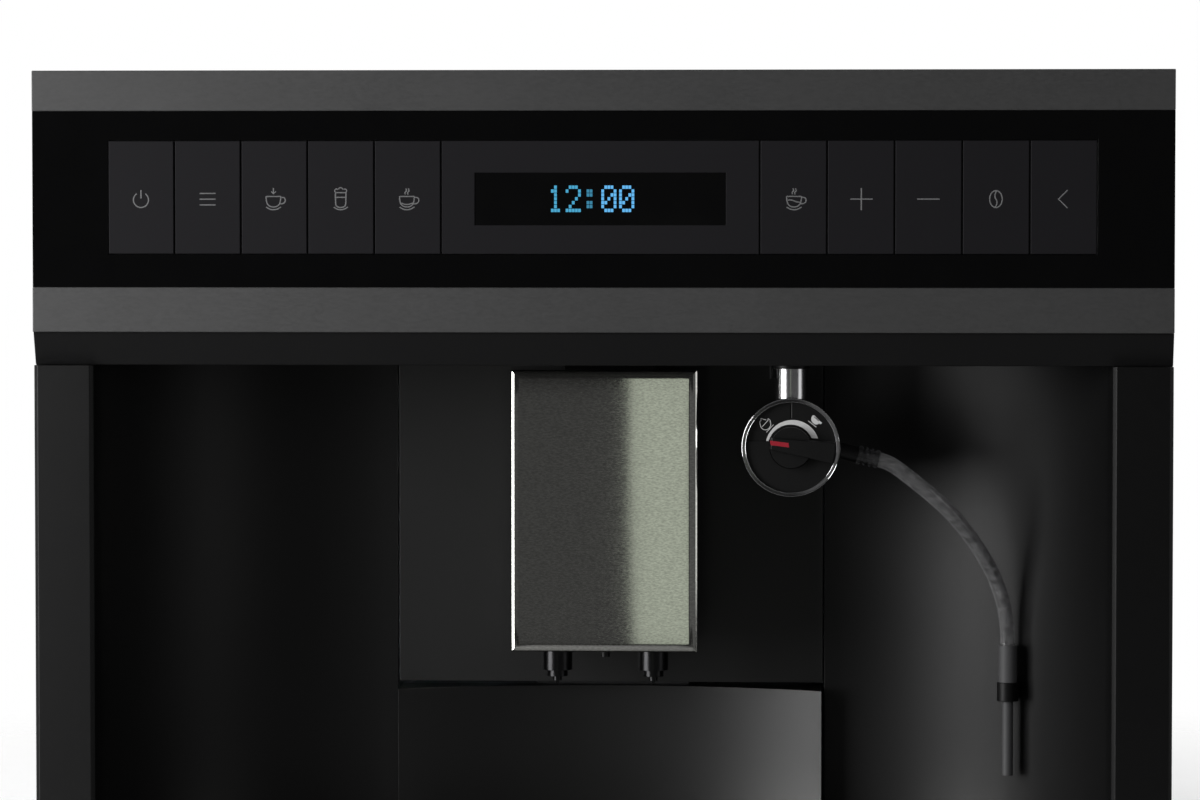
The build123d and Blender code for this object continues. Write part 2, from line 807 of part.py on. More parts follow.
def hose_axis(distance):
    """Point on the hose outlet's axis, a distance along it from its root in the frother."""
    turn = radians(hose_tilt)
    root_x = frother_x + frother_ring_radius * 0.6
    return (root_x + distance * cos(turn), pipe_depth, frother_z + distance * -sin(turn))


def along_outlet(radius, start, end):
    """A cylinder on the hose outlet's axis between two distances from its root."""
    x, depth, z = hose_axis((start + end) / 2)
    place = Pos(x, front_y + depth, z) * Rot(0, 90 + hose_tilt, 0)
    return place * Cylinder(radius, end - start)


def frother_body():
    radius = frother_ring_radius - frother_ring_wall / 2
    depth = (frother_body_front, frother_body_front + frother_body_length)
    body = level_y(radius, frother_x, depth, frother_z)
    body += along_outlet(boss_radius, 0, boss_length)
    seat = frother_z + frother_ring_radius - pipe_seat
    body -= upright(pipe_radius + clip_gap, frother_x, pipe_depth, (seat, frother_z + 2 * radius))
    body -= upright(pipe_bore / 2, frother_x, pipe_depth, (frother_z, seat))
    outlet = (frother_z - 2 * radius, frother_z - radius + outlet_length)
    body -= upright(outlet_radius, frother_x, pipe_depth, outlet)
    ring_seat = (frother_body_front, frother_ring_front + frother_ring_length)
    band = level_y(2 * radius, frother_x, ring_seat, frother_z)
    neck = level_y(frother_ring_radius - frother_ring_wall, frother_x, ring_seat, frother_z)
    return body - (band - neck)


def frother_ring():
    depth = (frother_ring_front, frother_ring_front + frother_ring_length)
    ring = level_y(frother_ring_radius, frother_x, depth, frother_z)
    ring -= level_y(frother_ring_radius - frother_ring_wall, frother_x, depth, frother_z)
    root = (frother_z, frother_z + 2 * frother_ring_radius)
    ring -= upright(pipe_radius + clip_gap, frother_x, pipe_depth, root)
    return ring - along_outlet(boss_radius + clip_gap, 0, boss_length)


def frother_dial():
    radius = frother_ring_radius - frother_ring_wall
    dial = level_y(radius, frother_x, (dial_front, frother_body_front), frother_z)
    step = (dial_front, dial_front + dial_step)
    hub = level_y(lever_hub_radius + sliding_gap, frother_x, step, frother_z)
    sector_x = (frother_x - 2 * radius, frother_x + 2 * radius)
    sector = block(sector_x, step, (frother_z + sector_rise, frother_z + 2 * radius))
    half = dial_groove_width / 2
    groove_z = (frother_z + dial_groove_start, frother_z + 2 * radius)
    groove_depth = (dial_front, dial_front + dial_step + dial_groove_depth)
    dial -= [sector, hub, block((frother_x - half, frother_x + half), groove_depth, groove_z)]
    pin_back = (dial_front, frother_body_front)
    return dial - level_y(lever_pin_radius + running_gap, frother_x, pin_back, frother_z)


def frother_lever():
    """Pointer lever with its hub and pin, at the left stop."""
    back = dial_front - lever_back_gap
    tip_z = [lever_rise + side * lever_tip_height / 2 for side in (-1, 1)]
    tail_z = [lever_rise + side * lever_tail_height / 2 for side in (-1, 1)]
    low, high = [(sqrt(lever_tail_reach ** 2 - z ** 2), z) for z in tail_z]
    outline = Polyline(low, (-lever_tip_reach, tip_z[0]), (-lever_tip_reach, tip_z[1]), high)
    outline += ThreePointArc(high, (lever_tail_reach, 0), low)
    plane = Plane(origin=(frother_x, front_y + back, frother_z), x_dir=(1, 0, 0), z_dir=(0, -1, 0))
    bar = extrude(plane * Rot(0, 0, -lever_tilt) * make_face(outline), back - lever_front)
    bar = fillet(bar.faces().sort_by(Axis.Y)[0].edges(), key_corner)
    lever = bar + level_y(lever_hub_radius, frother_x, (back - lever_hub_thickness, back), frother_z)
    pin = (back - key_corner, frother_body_front - sliding_gap)
    return lever + level_y(lever_pin_radius, frother_x, pin, frother_z)


def hose_connector():
    start, end = boss_length, boss_length + connector_length
    connector = along_outlet(connector_radius, start, end)
    for share in (0.25, 0.5, 0.75):
        middle = start + share * connector_length
        groove = (middle - connector_groove, middle + connector_groove)
        ring = along_outlet(2 * connector_radius, *groove)
        connector -= ring - along_outlet(connector_radius - connector_groove, *groove)
    return connector - along_outlet(connector_bore, start, end)


def hose_route():
    """Route of the milk hose as (x, depth, z): out of the connector, down, and back to the clip."""
    return [
        hose_axis(boss_length + connector_length),
        hose_axis(boss_length + connector_length + hose_lead),
        (160.4, 46.0, 241.8),
        (171.6, 46.8, 232.9),
        (182.4, 49.6, 223.2),
        (192.0, 54.0, 212.0),
        (200.6, 59.4, 199.4),
        (208.2, 64.8, 185.6),
        (tube_x, tube_depth(), tube_top + hose_drop),
        (tube_x, tube_depth(), tube_top),
    ]


def milk_hose():
    points = [Vector(x, front_y + depth, z) for x, depth, z in hose_route()]
    runs = [b - a for a, b in zip(points, points[1:])]
    reach = [0.45 * run.length for run in runs]  # how much of a run each of its bends takes
    reach[0], reach[-1] = 0.95 * runs[0].length, 0.95 * runs[-1].length
    radii = []
    for i in range(len(runs) - 1):
        turn = radians(runs[i].get_angle(runs[i + 1]))
        radii.append(min(reach[i], reach[i + 1]) / tan(turn / 2))
    path = FilletPolyline(*points, radius=radii)
    section = Plane(origin=points[0], z_dir=runs[0]) * Circle(hose_diameter / 2)
    hose = sweep(section, path=path)
    expected = path.length * pi * (hose_diameter / 2) ** 2
    print("hose radii", [round(r, 1) for r in radii], "length", round(path.length, 1),
          "volume share", round(hose.volume / expected, 4))
    return hose


def suction_tube():
    depth = tube_depth()
    tube = upright(tube_radius, tube_x, depth, (tube_top - tube_length, tube_top))
    tube += upright(tube_collar_radius, tube_x, depth, (tube_top - tube_collar_length, tube_top))
    return tube - upright(tube_bore, tube_x, depth, (tube_top - tube_length, tube_top))


# ---- drip drawer ----
def drawer_front():
    z = (drawer_front_bottom, drawer_top)
    bar = block((-half_width, half_width), (0, drawer_front_thickness), z)
    grip_x = (-grip_width / 2, grip_width / 2)
    grip_y = (drawer_front_thickness - grip_depth, drawer_front_thickness)
    bar -= block(grip_x, grip_y, (drawer_front_bottom, drawer_front_bottom + grip_height))
    pad_y = (drawer_front_thickness, tray_front)
    pad_z = (tray_bottom + grip_height, tray_top)
    return bar + block((-tray_half, tray_half), pad_y, pad_z)


def drip_tray():
    edge = tray_half
    tray = block((-edge, edge), (tray_front, tray_back), (tray_bottom, tray_top))
    inner = (tray_front + tray_wall, tray_back - tray_wall)
    tray -= block((-edge + tray_wall, edge - tray_wall), inner, (tray_bottom + tray_wall, tray_top))
    return tray


def grid_reach(depth):
    """Half width of the drip grid at a depth, a clearance inside the curved walls and the tray."""
    radius, centre = bay_arc()
    curved = bay_inner + sqrt((radius - grid_gap) ** 2 - (depth - centre) ** 2)
    return min(curved, tray_half - tray_wall - sliding_gap)


def grid_plan():
    """Outline of the drip grid: it follows the curved walls and the curved front cover."""
    low = tray_front + tray_wall + sliding_gap
    edge = grid_reach(low)
    radius, centre = bay_arc()
    corner = centre + sqrt((radius - grid_gap) ** 2 - (edge - bay_inner) ** 2)
    inner = bay_inner + grid_gap
    back = centre + sqrt((radius - grid_gap) ** 2 - grid_gap**2)
    halfway = (corner + back) / 2
    cover_edge = centre_panel_width / 2
    ends = front_arc_ends - grid_gap
    right = ThreePointArc((edge, corner), (grid_reach(halfway), halfway), (inner, back))
    left = ThreePointArc((-inner, back), (-grid_reach(halfway), halfway), (-edge, corner))
    middle = ThreePointArc((cover_edge, ends), (0, ends + front_arc_rise), (-cover_edge, ends))
    step = Polyline((inner, back), (inner, ends), (cover_edge, ends))
    other_step = Polyline((-cover_edge, ends), (-inner, ends), (-inner, back))
    front = Polyline((-edge, corner), (-edge, low), (edge, low), (edge, corner))
    return Wire([*front.edges(), right, *step.edges(), middle, *other_step.edges(), left])


def drip_grid():
    low = tray_front + tray_wall + sliding_gap
    high = front_arc_ends - grid_gap
    z = (grid_top - grid_thickness, grid_top)
    plate = plan_solid(grid_plan(), z)
    row_step = (high - low) / 2
    profile = Rot(0, 0, 90) * SlotOverall(grid_slot_length, grid_slot_width)
    slot = extrude(profile, grid_thickness, dir=(0, 0, 1))
    slots = []
    for row in (-0.5, 0.5):
        depth = (low + high) / 2 + row * row_step
        half_row = grid_reach(depth + grid_slot_length / 2) - grid_rim
        per_side = int(half_row // grid_slot_pitch)
        for i in range(-per_side, per_side + 1):
            slots.append(Pos(i * grid_slot_pitch, front_y + depth, z[0]) * slot)
    plate -= slots
    floor = tray_bottom + tray_wall
    front_post = (grid_reach(low) - grid_rim / 2, low + grid_rim / 2)
    back_post = (bay_inner + grid_gap + grid_rim, high + grid_rim / 2)
    for reach, depth in (front_post, back_post):
        for x in (-reach, reach):
            plate += upright(grid_rim / 2 - sliding_gap, x, depth, (floor, z[0]))
    return plate


def grounds_container():
    edge = grounds_half_width
    depth = (grounds_front_depth, grounds_back_depth)
    low = tray_bottom
    box = block((-edge, edge), depth, (low, grounds_top))
    inner = (depth[0] + grounds_wall, depth[1] - grounds_wall)
    box -= block((-edge + grounds_wall, edge - grounds_wall), inner, (low + grounds_wall, grounds_top))
    link = (tray_back, grounds_front_depth)
    return box + block((-edge, edge), link, (tray_bottom, tray_bottom + 2 * grounds_wall))


def front_plan(inset):
    """Plan of the curved front cover, inset from its outer faces; its back is left open."""
    edge = centre_panel_width / 2 - seam_gap / 2 - inset
    ends = front_arc_ends + inset
    face = ThreePointArc((-edge, ends), (0, ends + front_arc_rise), (edge, ends))
    back = grounds_front_depth
    return Wire([face, *Polyline((edge, ends), (edge, back), (-edge, back), (-edge, ends)).edges()])


def grounds_front():
    """Curved cover behind the cups; its middle lies further back than its ends."""
    wall = grounds_panel_wall
    top = centre_panel_bottom - grounds_panel_gap
    cover = plan_solid(front_plan(0), (bay_bottom, top))
    cover -= plan_solid(front_plan(wall), (bay_bottom, top - wall))
    lug_z = (bay_bottom + 2 * wall, grounds_top - 2 * wall)
    lug_y = (front_arc_ends + front_arc_rise - wall, grounds_front_depth)
    for x in (-grounds_half_width / 2, grounds_half_width / 2):
        cover += block((x - wall, x + wall), lug_y, lug_z)
    return cover


# ---- inner frame, brew unit and grinder ----
def inner_frame():
    """Bridge over the grounds container that carries the brew unit and the grinder."""
    edge = frame_half_width
    depth = (frame_front, frame_back)
    plate_z = (frame_base, frame_top)
    frame = block((-edge, edge), depth, plate_z)
    for side in (-1, 1):
        leg = sorted((side * edge, side * (edge - frame_leg)))
        frame += block(leg, depth, (pan_top, frame_base))
    drop = (brew_back - drop_length, brew_back)
    frame -= block((-drop_half_width, drop_half_width), drop, plate_z)
    pin = piston_rod_radius + sliding_gap
    return frame - upright(pin, 0, brew_front + brew_length / 2, plate_z)


def brew_housing():
    low = frame_top
    middle = (brew_front + brew_back) / 2
    height = (low, low + brew_height)
    housing = block((-brew_half_width, brew_half_width), (brew_front, brew_back), height)
    housing -= upright(brew_bore, 0, middle, (low + brew_floor, low + brew_height))
    return housing - upright(piston_rod_radius + running_gap, 0, middle, (low, low + brew_floor))


def brew_piston():
    low = frame_top + brew_floor
    middle = (brew_front + brew_back) / 2
    piston = upright(brew_bore - running_gap, 0, middle, (low, low + piston_height))
    return piston + upright(piston_rod_radius, 0, middle, (low - piston_rod_length, low))


def grinder_motor():
    motor = upright(motor_radius, 0, grinder_depth, (frame_top, motor_top))
    bore = burr_shaft_radius + running_gap
    return motor - upright(bore, 0, grinder_depth, (motor_top - motor_bore_depth, motor_top))


def grinder_housing():
    low, high = motor_top, grinder_top
    housing = upright(grinder_radius, 0, grinder_depth, (low, high))
    seat_height = high - low - burr_floor
    seat = Pos(0, front_y + grinder_depth, low + burr_floor + seat_height / 2)
    housing -= seat * Cone(burr_seat_bottom, burr_seat_top, seat_height)
    housing -= upright(burr_shaft_radius + running_gap, 0, grinder_depth, (low, low + burr_floor))
    chute_back = grinder_depth - grinder_radius + burr_floor / 2
    chute = block((-burr_floor, burr_floor), (brew_back, chute_back), (low, low + burr_floor))
    return housing + chute


def grinding_cone():
    """Lower burr with its shaft, which the motor turns."""
    base = motor_top + burr_floor + sliding_gap
    cone = Pos(0, front_y + grinder_depth, base + burr_rim + (burr_height - burr_rim) / 2)
    burr = cone * Cone(burr_bottom_radius, burr_top_radius, burr_height - burr_rim)
    burr += upright(burr_bottom_radius, 0, grinder_depth, (base, base + burr_rim))
    return burr + upright(burr_shaft_radius, 0, grinder_depth, (base - burr_shaft_length, base))


# ---- bean hopper and lid ----
def hopper_stage(inset, low):
    """Outer (inset 0) or inner solid of the funnel, down to the height low."""
    half_x = hopper_half_width - inset
    half_y = (hopper_back - hopper_front) / 2 - inset
    middle = (hopper_front + hopper_back) / 2
    throat = hopper_throat - inset
    collar_low = cover_top - hopper_collar
    collar = block((-half_x, half_x), (middle - half_y, middle + half_y), (collar_low, rim_z))
    throat_top = low + hopper_collar
    top = Pos(0, front_y + middle, collar_low) * Rectangle(2 * half_x, 2 * half_y)
    bottom = Pos(0, front_y + grinder_depth, throat_top) * Rectangle(2 * throat, 2 * throat)
    tube = (grinder_depth - throat, grinder_depth + throat)
    return collar + loft([bottom, top]) + block((-throat, throat), tube, (low, throat_top))


def bean_hopper():
    hopper = hopper_stage(0, grinder_top)
    rim_x = hopper_half_width + hopper_rim
    rim_y = (hopper_front - hopper_rim, hopper_back + hopper_rim)
    hopper += block((-rim_x, rim_x), rim_y, (rim_z, rim_z + hopper_rim_thickness))
    inner_x = (-hopper_half_width + hopper_wall, hopper_half_width - hopper_wall)
    inner_y = (hopper_front + hopper_wall, hopper_back - hopper_wall)
    hopper -= hopper_stage(hopper_wall, grinder_top)
    hopper -= block(inner_x, inner_y, (rim_z, rim_z + hopper_rim_thickness))
    rear = hopper_back + hopper_rim
    for side in (-1, 1):
        lug_side = sorted((side * (lug_x - lug_width / 2), side * (lug_x + lug_width / 2)))
        lug = block(lug_side, (rear, rear + lug_length), (rim_z, rim_z + lug_height))
        bore = (side * lug_x - lug_width, side * lug_x + lug_width)
        hopper += lug - level_x(lid_pin_radius + running_gap, bore, *hinge_place())
    return hopper


def hinge_place():
    """Depth and height of the lid's hinge axis."""
    return hopper_back + hopper_rim + lug_length / 2, rim_z + lug_height - lid_pin_radius * 2


def hopper_lid():
    depth, z = hinge_place()
    low = rim_z + hopper_rim_thickness + lid_gap
    edge = hopper_half_width + hopper_rim - lid_side_gap
    lid_y = (hopper_front - hopper_rim + lid_side_gap, hopper_back)
    lid = block((-edge, edge), lid_y, (low, low + lid_thickness))
    for side in (-1, 1):
        outer = lug_x - lug_width / 2 - arm_gap
        arm = sorted((side * outer, side * (outer - arm_width)))
        lid += block(arm, (hopper_back - arm_width, depth), (low, low + lid_thickness))
        lid += level_x(knuckle_radius, arm, depth, z)
        pin = sorted((side * (outer - arm_width / 2), side * (lug_x + lug_width / 2)))
        lid += level_x(lid_pin_radius, pin, depth, z)
    return lid


# ---- water tank, boiler, pump and electronics ----
def tank_body():
    outer = -cover_outer
    x = (outer, outer + tank_width)
    z = (pan_flange_top + tank_gap, pan_flange_top + tank_gap + tank_height)
    tank = block(x, (tank_front, tank_back), z)
    inner_x = (x[0] + tank_wall, x[1] - tank_wall)
    inner_y = (tank_front + tank_wall, tank_back - tank_wall)
    tank -= block(inner_x, inner_y, (z[0] + tank_wall, z[1]))
    middle = (tank_front + tank_back) / 2
    slot_y = (middle - grip_slot_length / 2, middle + grip_slot_length / 2)
    slot_z = (z[1] - 2 * grip_slot_height, z[1] - grip_slot_height)
    pocket = tank_wall + grip_slot_recess
    bulge_y = (slot_y[0] - tank_wall, slot_y[1] + tank_wall)
    bulge_z = (slot_z[0] - tank_wall, slot_z[1] + tank_wall)
    tank += block((x[0], x[0] + pocket), bulge_y, bulge_z)
    return tank - block((x[0], x[0] + grip_slot_recess), slot_y, slot_z)


def tank_shelf():
    """Ledge of the inner frame that the water tank's inner edge slides on."""
    x = (-cover_outer + tank_width / 2, -frame_half_width)
    top = pan_flange_top + tank_gap - clip_gap
    shelf = block(x, (tank_front, tank_back), (top - frame_leg, top))
    foot = (x[0], x[0] + frame_leg)
    return shelf + block(foot, (tank_front, tank_back), (pan_top, top))


def boiler():
    x = (boiler_x, boiler_x + boiler_width)
    depth = (boiler_front, boiler_front + boiler_length)
    body = block(x, depth, (pan_top + boiler_foot, pan_top + boiler_foot + boiler_height))
    body = fillet(body.edges().filter_by(Axis.Z), boiler_foot / 2)
    for foot_x in (x[0] + boiler_foot, x[1] - boiler_foot):
        for foot_y in (depth[0] + boiler_foot, depth[1] - boiler_foot):
            body += upright(pipe_stub_radius, foot_x, foot_y, (pan_top, pan_top + boiler_foot))
    top = pan_top + boiler_foot + boiler_height
    stub_z = (top, top + pipe_stub_length)
    for stub_y in (depth[0] + 2 * boiler_foot, depth[1] - 2 * boiler_foot):
        body += upright(pipe_stub_radius, boiler_x + boiler_width / 2, stub_y, stub_z)
    return body


def water_pump():
    z = pan_top + pump_saddle + pump_radius
    depth = (pump_front, pump_front + pump_length)
    pump = level_y(pump_radius, pump_x, depth, z)
    stubs = (depth[0] - pipe_stub_length, depth[1] + pipe_stub_length)
    pump += level_y(pipe_stub_radius, pump_x, stubs, z)
    middle = (depth[0] + depth[1]) / 2
    saddle_x = (pump_x - saddle_width / 2, pump_x + saddle_width / 2)
    saddle_y = (middle - saddle_length / 2, middle + saddle_length / 2)
    return pump + block(saddle_x, saddle_y, (pan_top, z))


def power_board():
    x = (power_board_x, power_board_x + board_thickness)
    depth = (power_board_front, power_board_front + power_board_length)
    base = pan_top + board_foot
    board = block(x, depth, (base, base + power_board_height))
    rows = 4
    for i in range(rows):
        part_y = depth[0] + (i + 0.5) * power_board_length / rows
        size = board_foot * (1 + i % 2)
        z = base + (1 + i) * power_board_height / (rows + 1)
        board += block((x[0] - 2 * size, x[0]), (part_y - size, part_y + size), (z - size, z + size))
    for foot_y in depth:
        foot = sorted((foot_y, foot_y + (board_foot if foot_y == depth[0] else -board_foot)))
        board += block((x[0] - board_foot, x[1]), foot, (pan_top, base + board_foot))
    return board


def mains_inlet():
    half_x, half_z = inlet_width / 2, inlet_height / 2
    x = (inlet_x - half_x, inlet_x + half_x)
    z = (inlet_z - half_z, inlet_z + half_z)
    depth = (back_sheet - inlet_length, back_sheet + board_thickness)
    inlet = block(x, depth, z)
    flange_x = (x[0] - inlet_flange, x[1] + inlet_flange)
    flange_z = (z[0] - inlet_flange, z[1] + inlet_flange)
    inlet += block(flange_x, (back_sheet, back_sheet + board_thickness), flange_z)
    cavity_depth = (depth[1] - inlet_cavity, depth[1])
    wall = board_thickness
    inlet -= block((x[0] + wall, x[1] - wall), cavity_depth, (z[0] + wall, z[1] - wall))
    for place, rise in ((-1, -inlet_pin_rise), (0, inlet_pin_rise), (1, -inlet_pin_rise)):
        pin_x = inlet_x + place * inlet_pin_spacing
        pin_z = inlet_z + rise
        pin = (pin_x - wall / 2, pin_x + wall / 2)
        height = (pin_z - inlet_pin_height / 2, pin_z + inlet_pin_height / 2)
        inlet += block(pin, (cavity_depth[0], depth[1] - 2 * wall), height)
    return inlet


os.makedirs(parts_folder, exist_ok=True)
rails()
right_wall = bay_side()
for number, key_x in enumerate(key_places(), start=1):
    save(f"key_{number:02d}", key_cap(key_x))
pieces = {
    "mounting_plate": mounting_plate(),
    "base_pan": base_pan(),
    "side_cover_left": side_cover(-1),
    "side_cover_right": side_cover(1),
    "rear_cover": rear_cover(),
    "top_cover": top_cover(),
    "bay_side_left": mirror(right_wall, Plane.YZ),
    "bay_side_right": right_wall + tube_clip(),
    "bay_centre_panel": bay_centre_panel(),
    "control_housing": control_housing(),
    "panel_glass": panel_glass(),
    "upper_trim": upper_trim(),
    "lower_trim": lower_trim(),
    "panel_skirt": panel_skirt(),
    "display_surround": display_surround(),
    "display_window": display_window(),
    "control_board": control_board(),
    "spout_cover": spout_cover(),
    "spout_carrier": spout_carrier(),
    "steam_pipe": steam_pipe(),
    "frother_body": frother_body(),
    "frother_ring": frother_ring(),
    "frother_dial": frother_dial(),
    "frother_lever": frother_lever(),
    "hose_connector": hose_connector(),
    "milk_hose": milk_hose(),
    "suction_tube": suction_tube(),
    "drawer_front": drawer_front(),
    "drip_tray": drip_tray(),
    "drip_grid": drip_grid(),
    "grounds_container": grounds_container(),
    "grounds_front": grounds_front(),
    "inner_frame": inner_frame() + tank_shelf(),
    "brew_housing": brew_housing(),
    "brew_piston": brew_piston(),
    "grinder_motor": grinder_motor(),
    "grinder_housing": grinder_housing(),
    "grinding_cone": grinding_cone(),
    "bean_hopper": bean_hopper(),
    "hopper_lid": hopper_lid(),
    "tank_body": tank_body(),
    "boiler": boiler(),
    "water_pump": water_pump(),
    "power_board": power_board(),
    "mains_inlet": mains_inlet(),
}
for node, solid in pieces.items():
    save(node, solid)
save("spout_nozzles", *[spout_nozzle(x) for x in (-nozzle_spacing / 2, nozzle_spacing / 2)])
save("cover_screws", *cover_screws())
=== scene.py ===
import bmesh
import bpy
import json
from math import cos, pi, radians, sin, sqrt
from mathutils import Matrix, Vector


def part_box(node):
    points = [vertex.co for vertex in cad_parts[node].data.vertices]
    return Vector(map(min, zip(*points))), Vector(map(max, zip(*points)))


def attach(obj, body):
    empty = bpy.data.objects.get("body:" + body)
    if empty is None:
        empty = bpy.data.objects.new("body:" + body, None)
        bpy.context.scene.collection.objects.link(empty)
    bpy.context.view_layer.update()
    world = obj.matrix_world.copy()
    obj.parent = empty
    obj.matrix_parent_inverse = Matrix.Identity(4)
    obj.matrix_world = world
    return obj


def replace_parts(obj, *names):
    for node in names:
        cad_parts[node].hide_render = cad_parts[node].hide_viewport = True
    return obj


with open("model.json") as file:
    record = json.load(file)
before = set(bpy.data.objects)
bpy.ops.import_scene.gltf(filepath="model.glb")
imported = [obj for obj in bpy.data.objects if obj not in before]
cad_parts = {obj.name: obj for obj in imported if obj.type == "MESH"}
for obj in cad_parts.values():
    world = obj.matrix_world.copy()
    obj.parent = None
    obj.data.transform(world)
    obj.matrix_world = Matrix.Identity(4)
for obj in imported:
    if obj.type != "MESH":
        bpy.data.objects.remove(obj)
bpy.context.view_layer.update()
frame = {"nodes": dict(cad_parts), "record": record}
nodes = frame["nodes"]
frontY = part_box("upper_trim")[0][1]  # plane of the two trims
mm = 0.001
weld = 0.002 * mm  # points of a CAD mesh nearer than this are one point


# camera
cameraView = {"place": (0.124, -2.665, 0.382), "aim": (0.0, -0.265, 0.2834), "lens": 138.6, "sensor": 36.0}


def addCamera():
    data = bpy.data.cameras.new("camera")
    data.lens = cameraView["lens"]
    data.sensor_width = cameraView["sensor"]
    camera = bpy.data.objects.new("camera", data)
    camera.location = cameraView["place"]
    look = Vector(cameraView["aim"]) - Vector(cameraView["place"])
    camera.rotation_euler = look.to_track_quat("-Z", "Y").to_euler()
    bpy.context.scene.collection.objects.link(camera)
    bpy.context.scene.camera = camera


addCamera()
print("camera placed")


# node and mesh helpers
def addNode(tree, kind, **settings):
    node = tree.nodes.new(kind)
    for key, value in settings.items():
        setattr(node, key, value)
    return node


def setInput(tree, node, socket, value):
    if isinstance(value, bpy.types.NodeSocket):
        tree.links.new(value, node.inputs[socket])
    else:
        node.inputs[socket].default_value = value


def mathNode(tree, operation, first, second=0.0, clamp=False):
    node = addNode(tree, "ShaderNodeMath", operation=operation, use_clamp=clamp)
    setInput(tree, node, 0, first)
    setInput(tree, node, 1, second)
    return node.outputs[0]


def mixColor(tree, factor, first, second):
    node = addNode(tree, "ShaderNodeMix", data_type="RGBA")
    setInput(tree, node, 0, factor)
    for socket, value in ((6, first), (7, second)):
        if isinstance(value, (tuple, list)) and len(value) == 3:
            value = (*value, 1.0)
        setInput(tree, node, socket, value)
    return node.outputs[2]


def mapRange(tree, value, low, high, toLow, toHigh):
    node = addNode(tree, "ShaderNodeMapRange")
    for socket, setting in enumerate((value, low, high, toLow, toHigh)):
        setInput(tree, node, socket, setting)
    return node.outputs[0]


def newGroup(name, inputs, outputs):
    tree = bpy.data.node_groups.new(name, "ShaderNodeTree")
    for label, kind, value in inputs:
        socket = tree.interface.new_socket(name=label, in_out="INPUT", socket_type="NodeSocket" + kind)
        socket.default_value = value
    for label, kind in outputs:
        tree.interface.new_socket(name=label, in_out="OUTPUT", socket_type="NodeSocket" + kind)
    return tree, addNode(tree, "NodeGroupInput"), addNode(tree, "NodeGroupOutput")


def useGroup(tree, group, **values):
    node = addNode(tree, "ShaderNodeGroup", node_tree=group)
    for key, value in values.items():
        setInput(tree, node, key, value)
    return node.outputs


def newPiece(name, mesh, body, slot, material=None):  # in its slot's finish, or one of its own
    piece = bpy.data.objects.new(name, mesh)
    bpy.context.scene.collection.objects.link(piece)
    mesh.materials.clear()
    mesh.materials.append(material or materials[slot])
    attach(piece, body)
    return piece


def meshFrom(bm, name, smoothAngle=None):
    mesh = bpy.data.meshes.new(name)
    bm.to_mesh(mesh)
    bm.free()
    if smoothAngle is not None:
        mesh.shade_smooth()
        mesh.set_sharp_from_angle(angle=radians(smoothAngle))
    return mesh


def middleOf(node):  # middle of a node's box
    low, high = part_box(node)
    return [(low[axis] + high[axis]) / 2 for axis in range(3)]


def addBox(bm, size, middle):
    bmesh.ops.create_cube(bm, size=1.0, matrix=Matrix.Translation(middle) @ Matrix.Diagonal((*size, 1.0)))


def extrudeRim(bm, rim):  # grows an open edge; gives the new rim and its points
    made = bmesh.ops.extrude_edge_only(bm, edges=rim)["geom"]
    rim = [e for e in made if isinstance(e, bmesh.types.BMEdge) and e.is_boundary]
    return rim, {v for e in rim for v in e.verts}


# shader groups shared by the materials
effects = {
    "grainDetail": 3.0,
    "marksDetail": 5.0, "marksRoughness": 0.65, "marksRange": (0.35, 0.7),
    "dustDetail": 6.0, "dustScale": 45.0, "dustSlope": 0.6,  # dust lies where a face looks up more than this
}


def grainGroup():  # noise stretched by its Lines vector, in waves per metre
    tree, source, sink = newGroup(
        "grain",
        [("Vector", "Vector", (0, 0, 0)), ("Lines", "Vector", (1000, 1000, 1000)),
         ("Contrast", "Float", 2.0)],
        [("Grain", "Float")],
    )
    stretch = addNode(tree, "ShaderNodeVectorMath", operation="MULTIPLY")
    tree.links.new(source.outputs["Vector"], stretch.inputs[0])
    tree.links.new(source.outputs["Lines"], stretch.inputs[1])
    noise = addNode(tree, "ShaderNodeTexNoise")
    tree.links.new(stretch.outputs[0], noise.inputs["Vector"])
    noise.inputs["Scale"].default_value = 1.0
    noise.inputs["Detail"].default_value = effects["grainDetail"]
    centred = mathNode(tree, "SUBTRACT", noise.outputs["Fac"], 0.5)
    spread = mathNode(tree, "MULTIPLY", centred, source.outputs["Contrast"])
    level = mathNode(tree, "ADD", spread, 0.5, clamp=True)
    tree.links.new(level, sink.inputs["Grain"])
    return tree


def edgeGroup():  # rounds the shading of sharp edges and marks where they are
    tree, source, sink = newGroup(
        "softEdge",
        [("Radius", "Float", 0.0005), ("Strength", "Float", 3.0)],
        [("Edge", "Float"), ("Normal", "Vector")],
    )
    bevel = addNode(tree, "ShaderNodeBevel", samples=4)
    tree.links.new(source.outputs["Radius"], bevel.inputs["Radius"])
    geometry = addNode(tree, "ShaderNodeNewGeometry")
    compare = addNode(tree, "ShaderNodeVectorMath", operation="DOT_PRODUCT")
    tree.links.new(bevel.outputs[0], compare.inputs[0])
    tree.links.new(geometry.outputs["Normal"], compare.inputs[1])
    turned = mathNode(tree, "SUBTRACT", 1.0, compare.outputs["Value"])
    mark = mathNode(tree, "MULTIPLY", turned, source.outputs["Strength"], clamp=True)
    tree.links.new(mark, sink.inputs["Edge"])
    tree.links.new(bevel.outputs[0], sink.inputs["Normal"])
    return tree


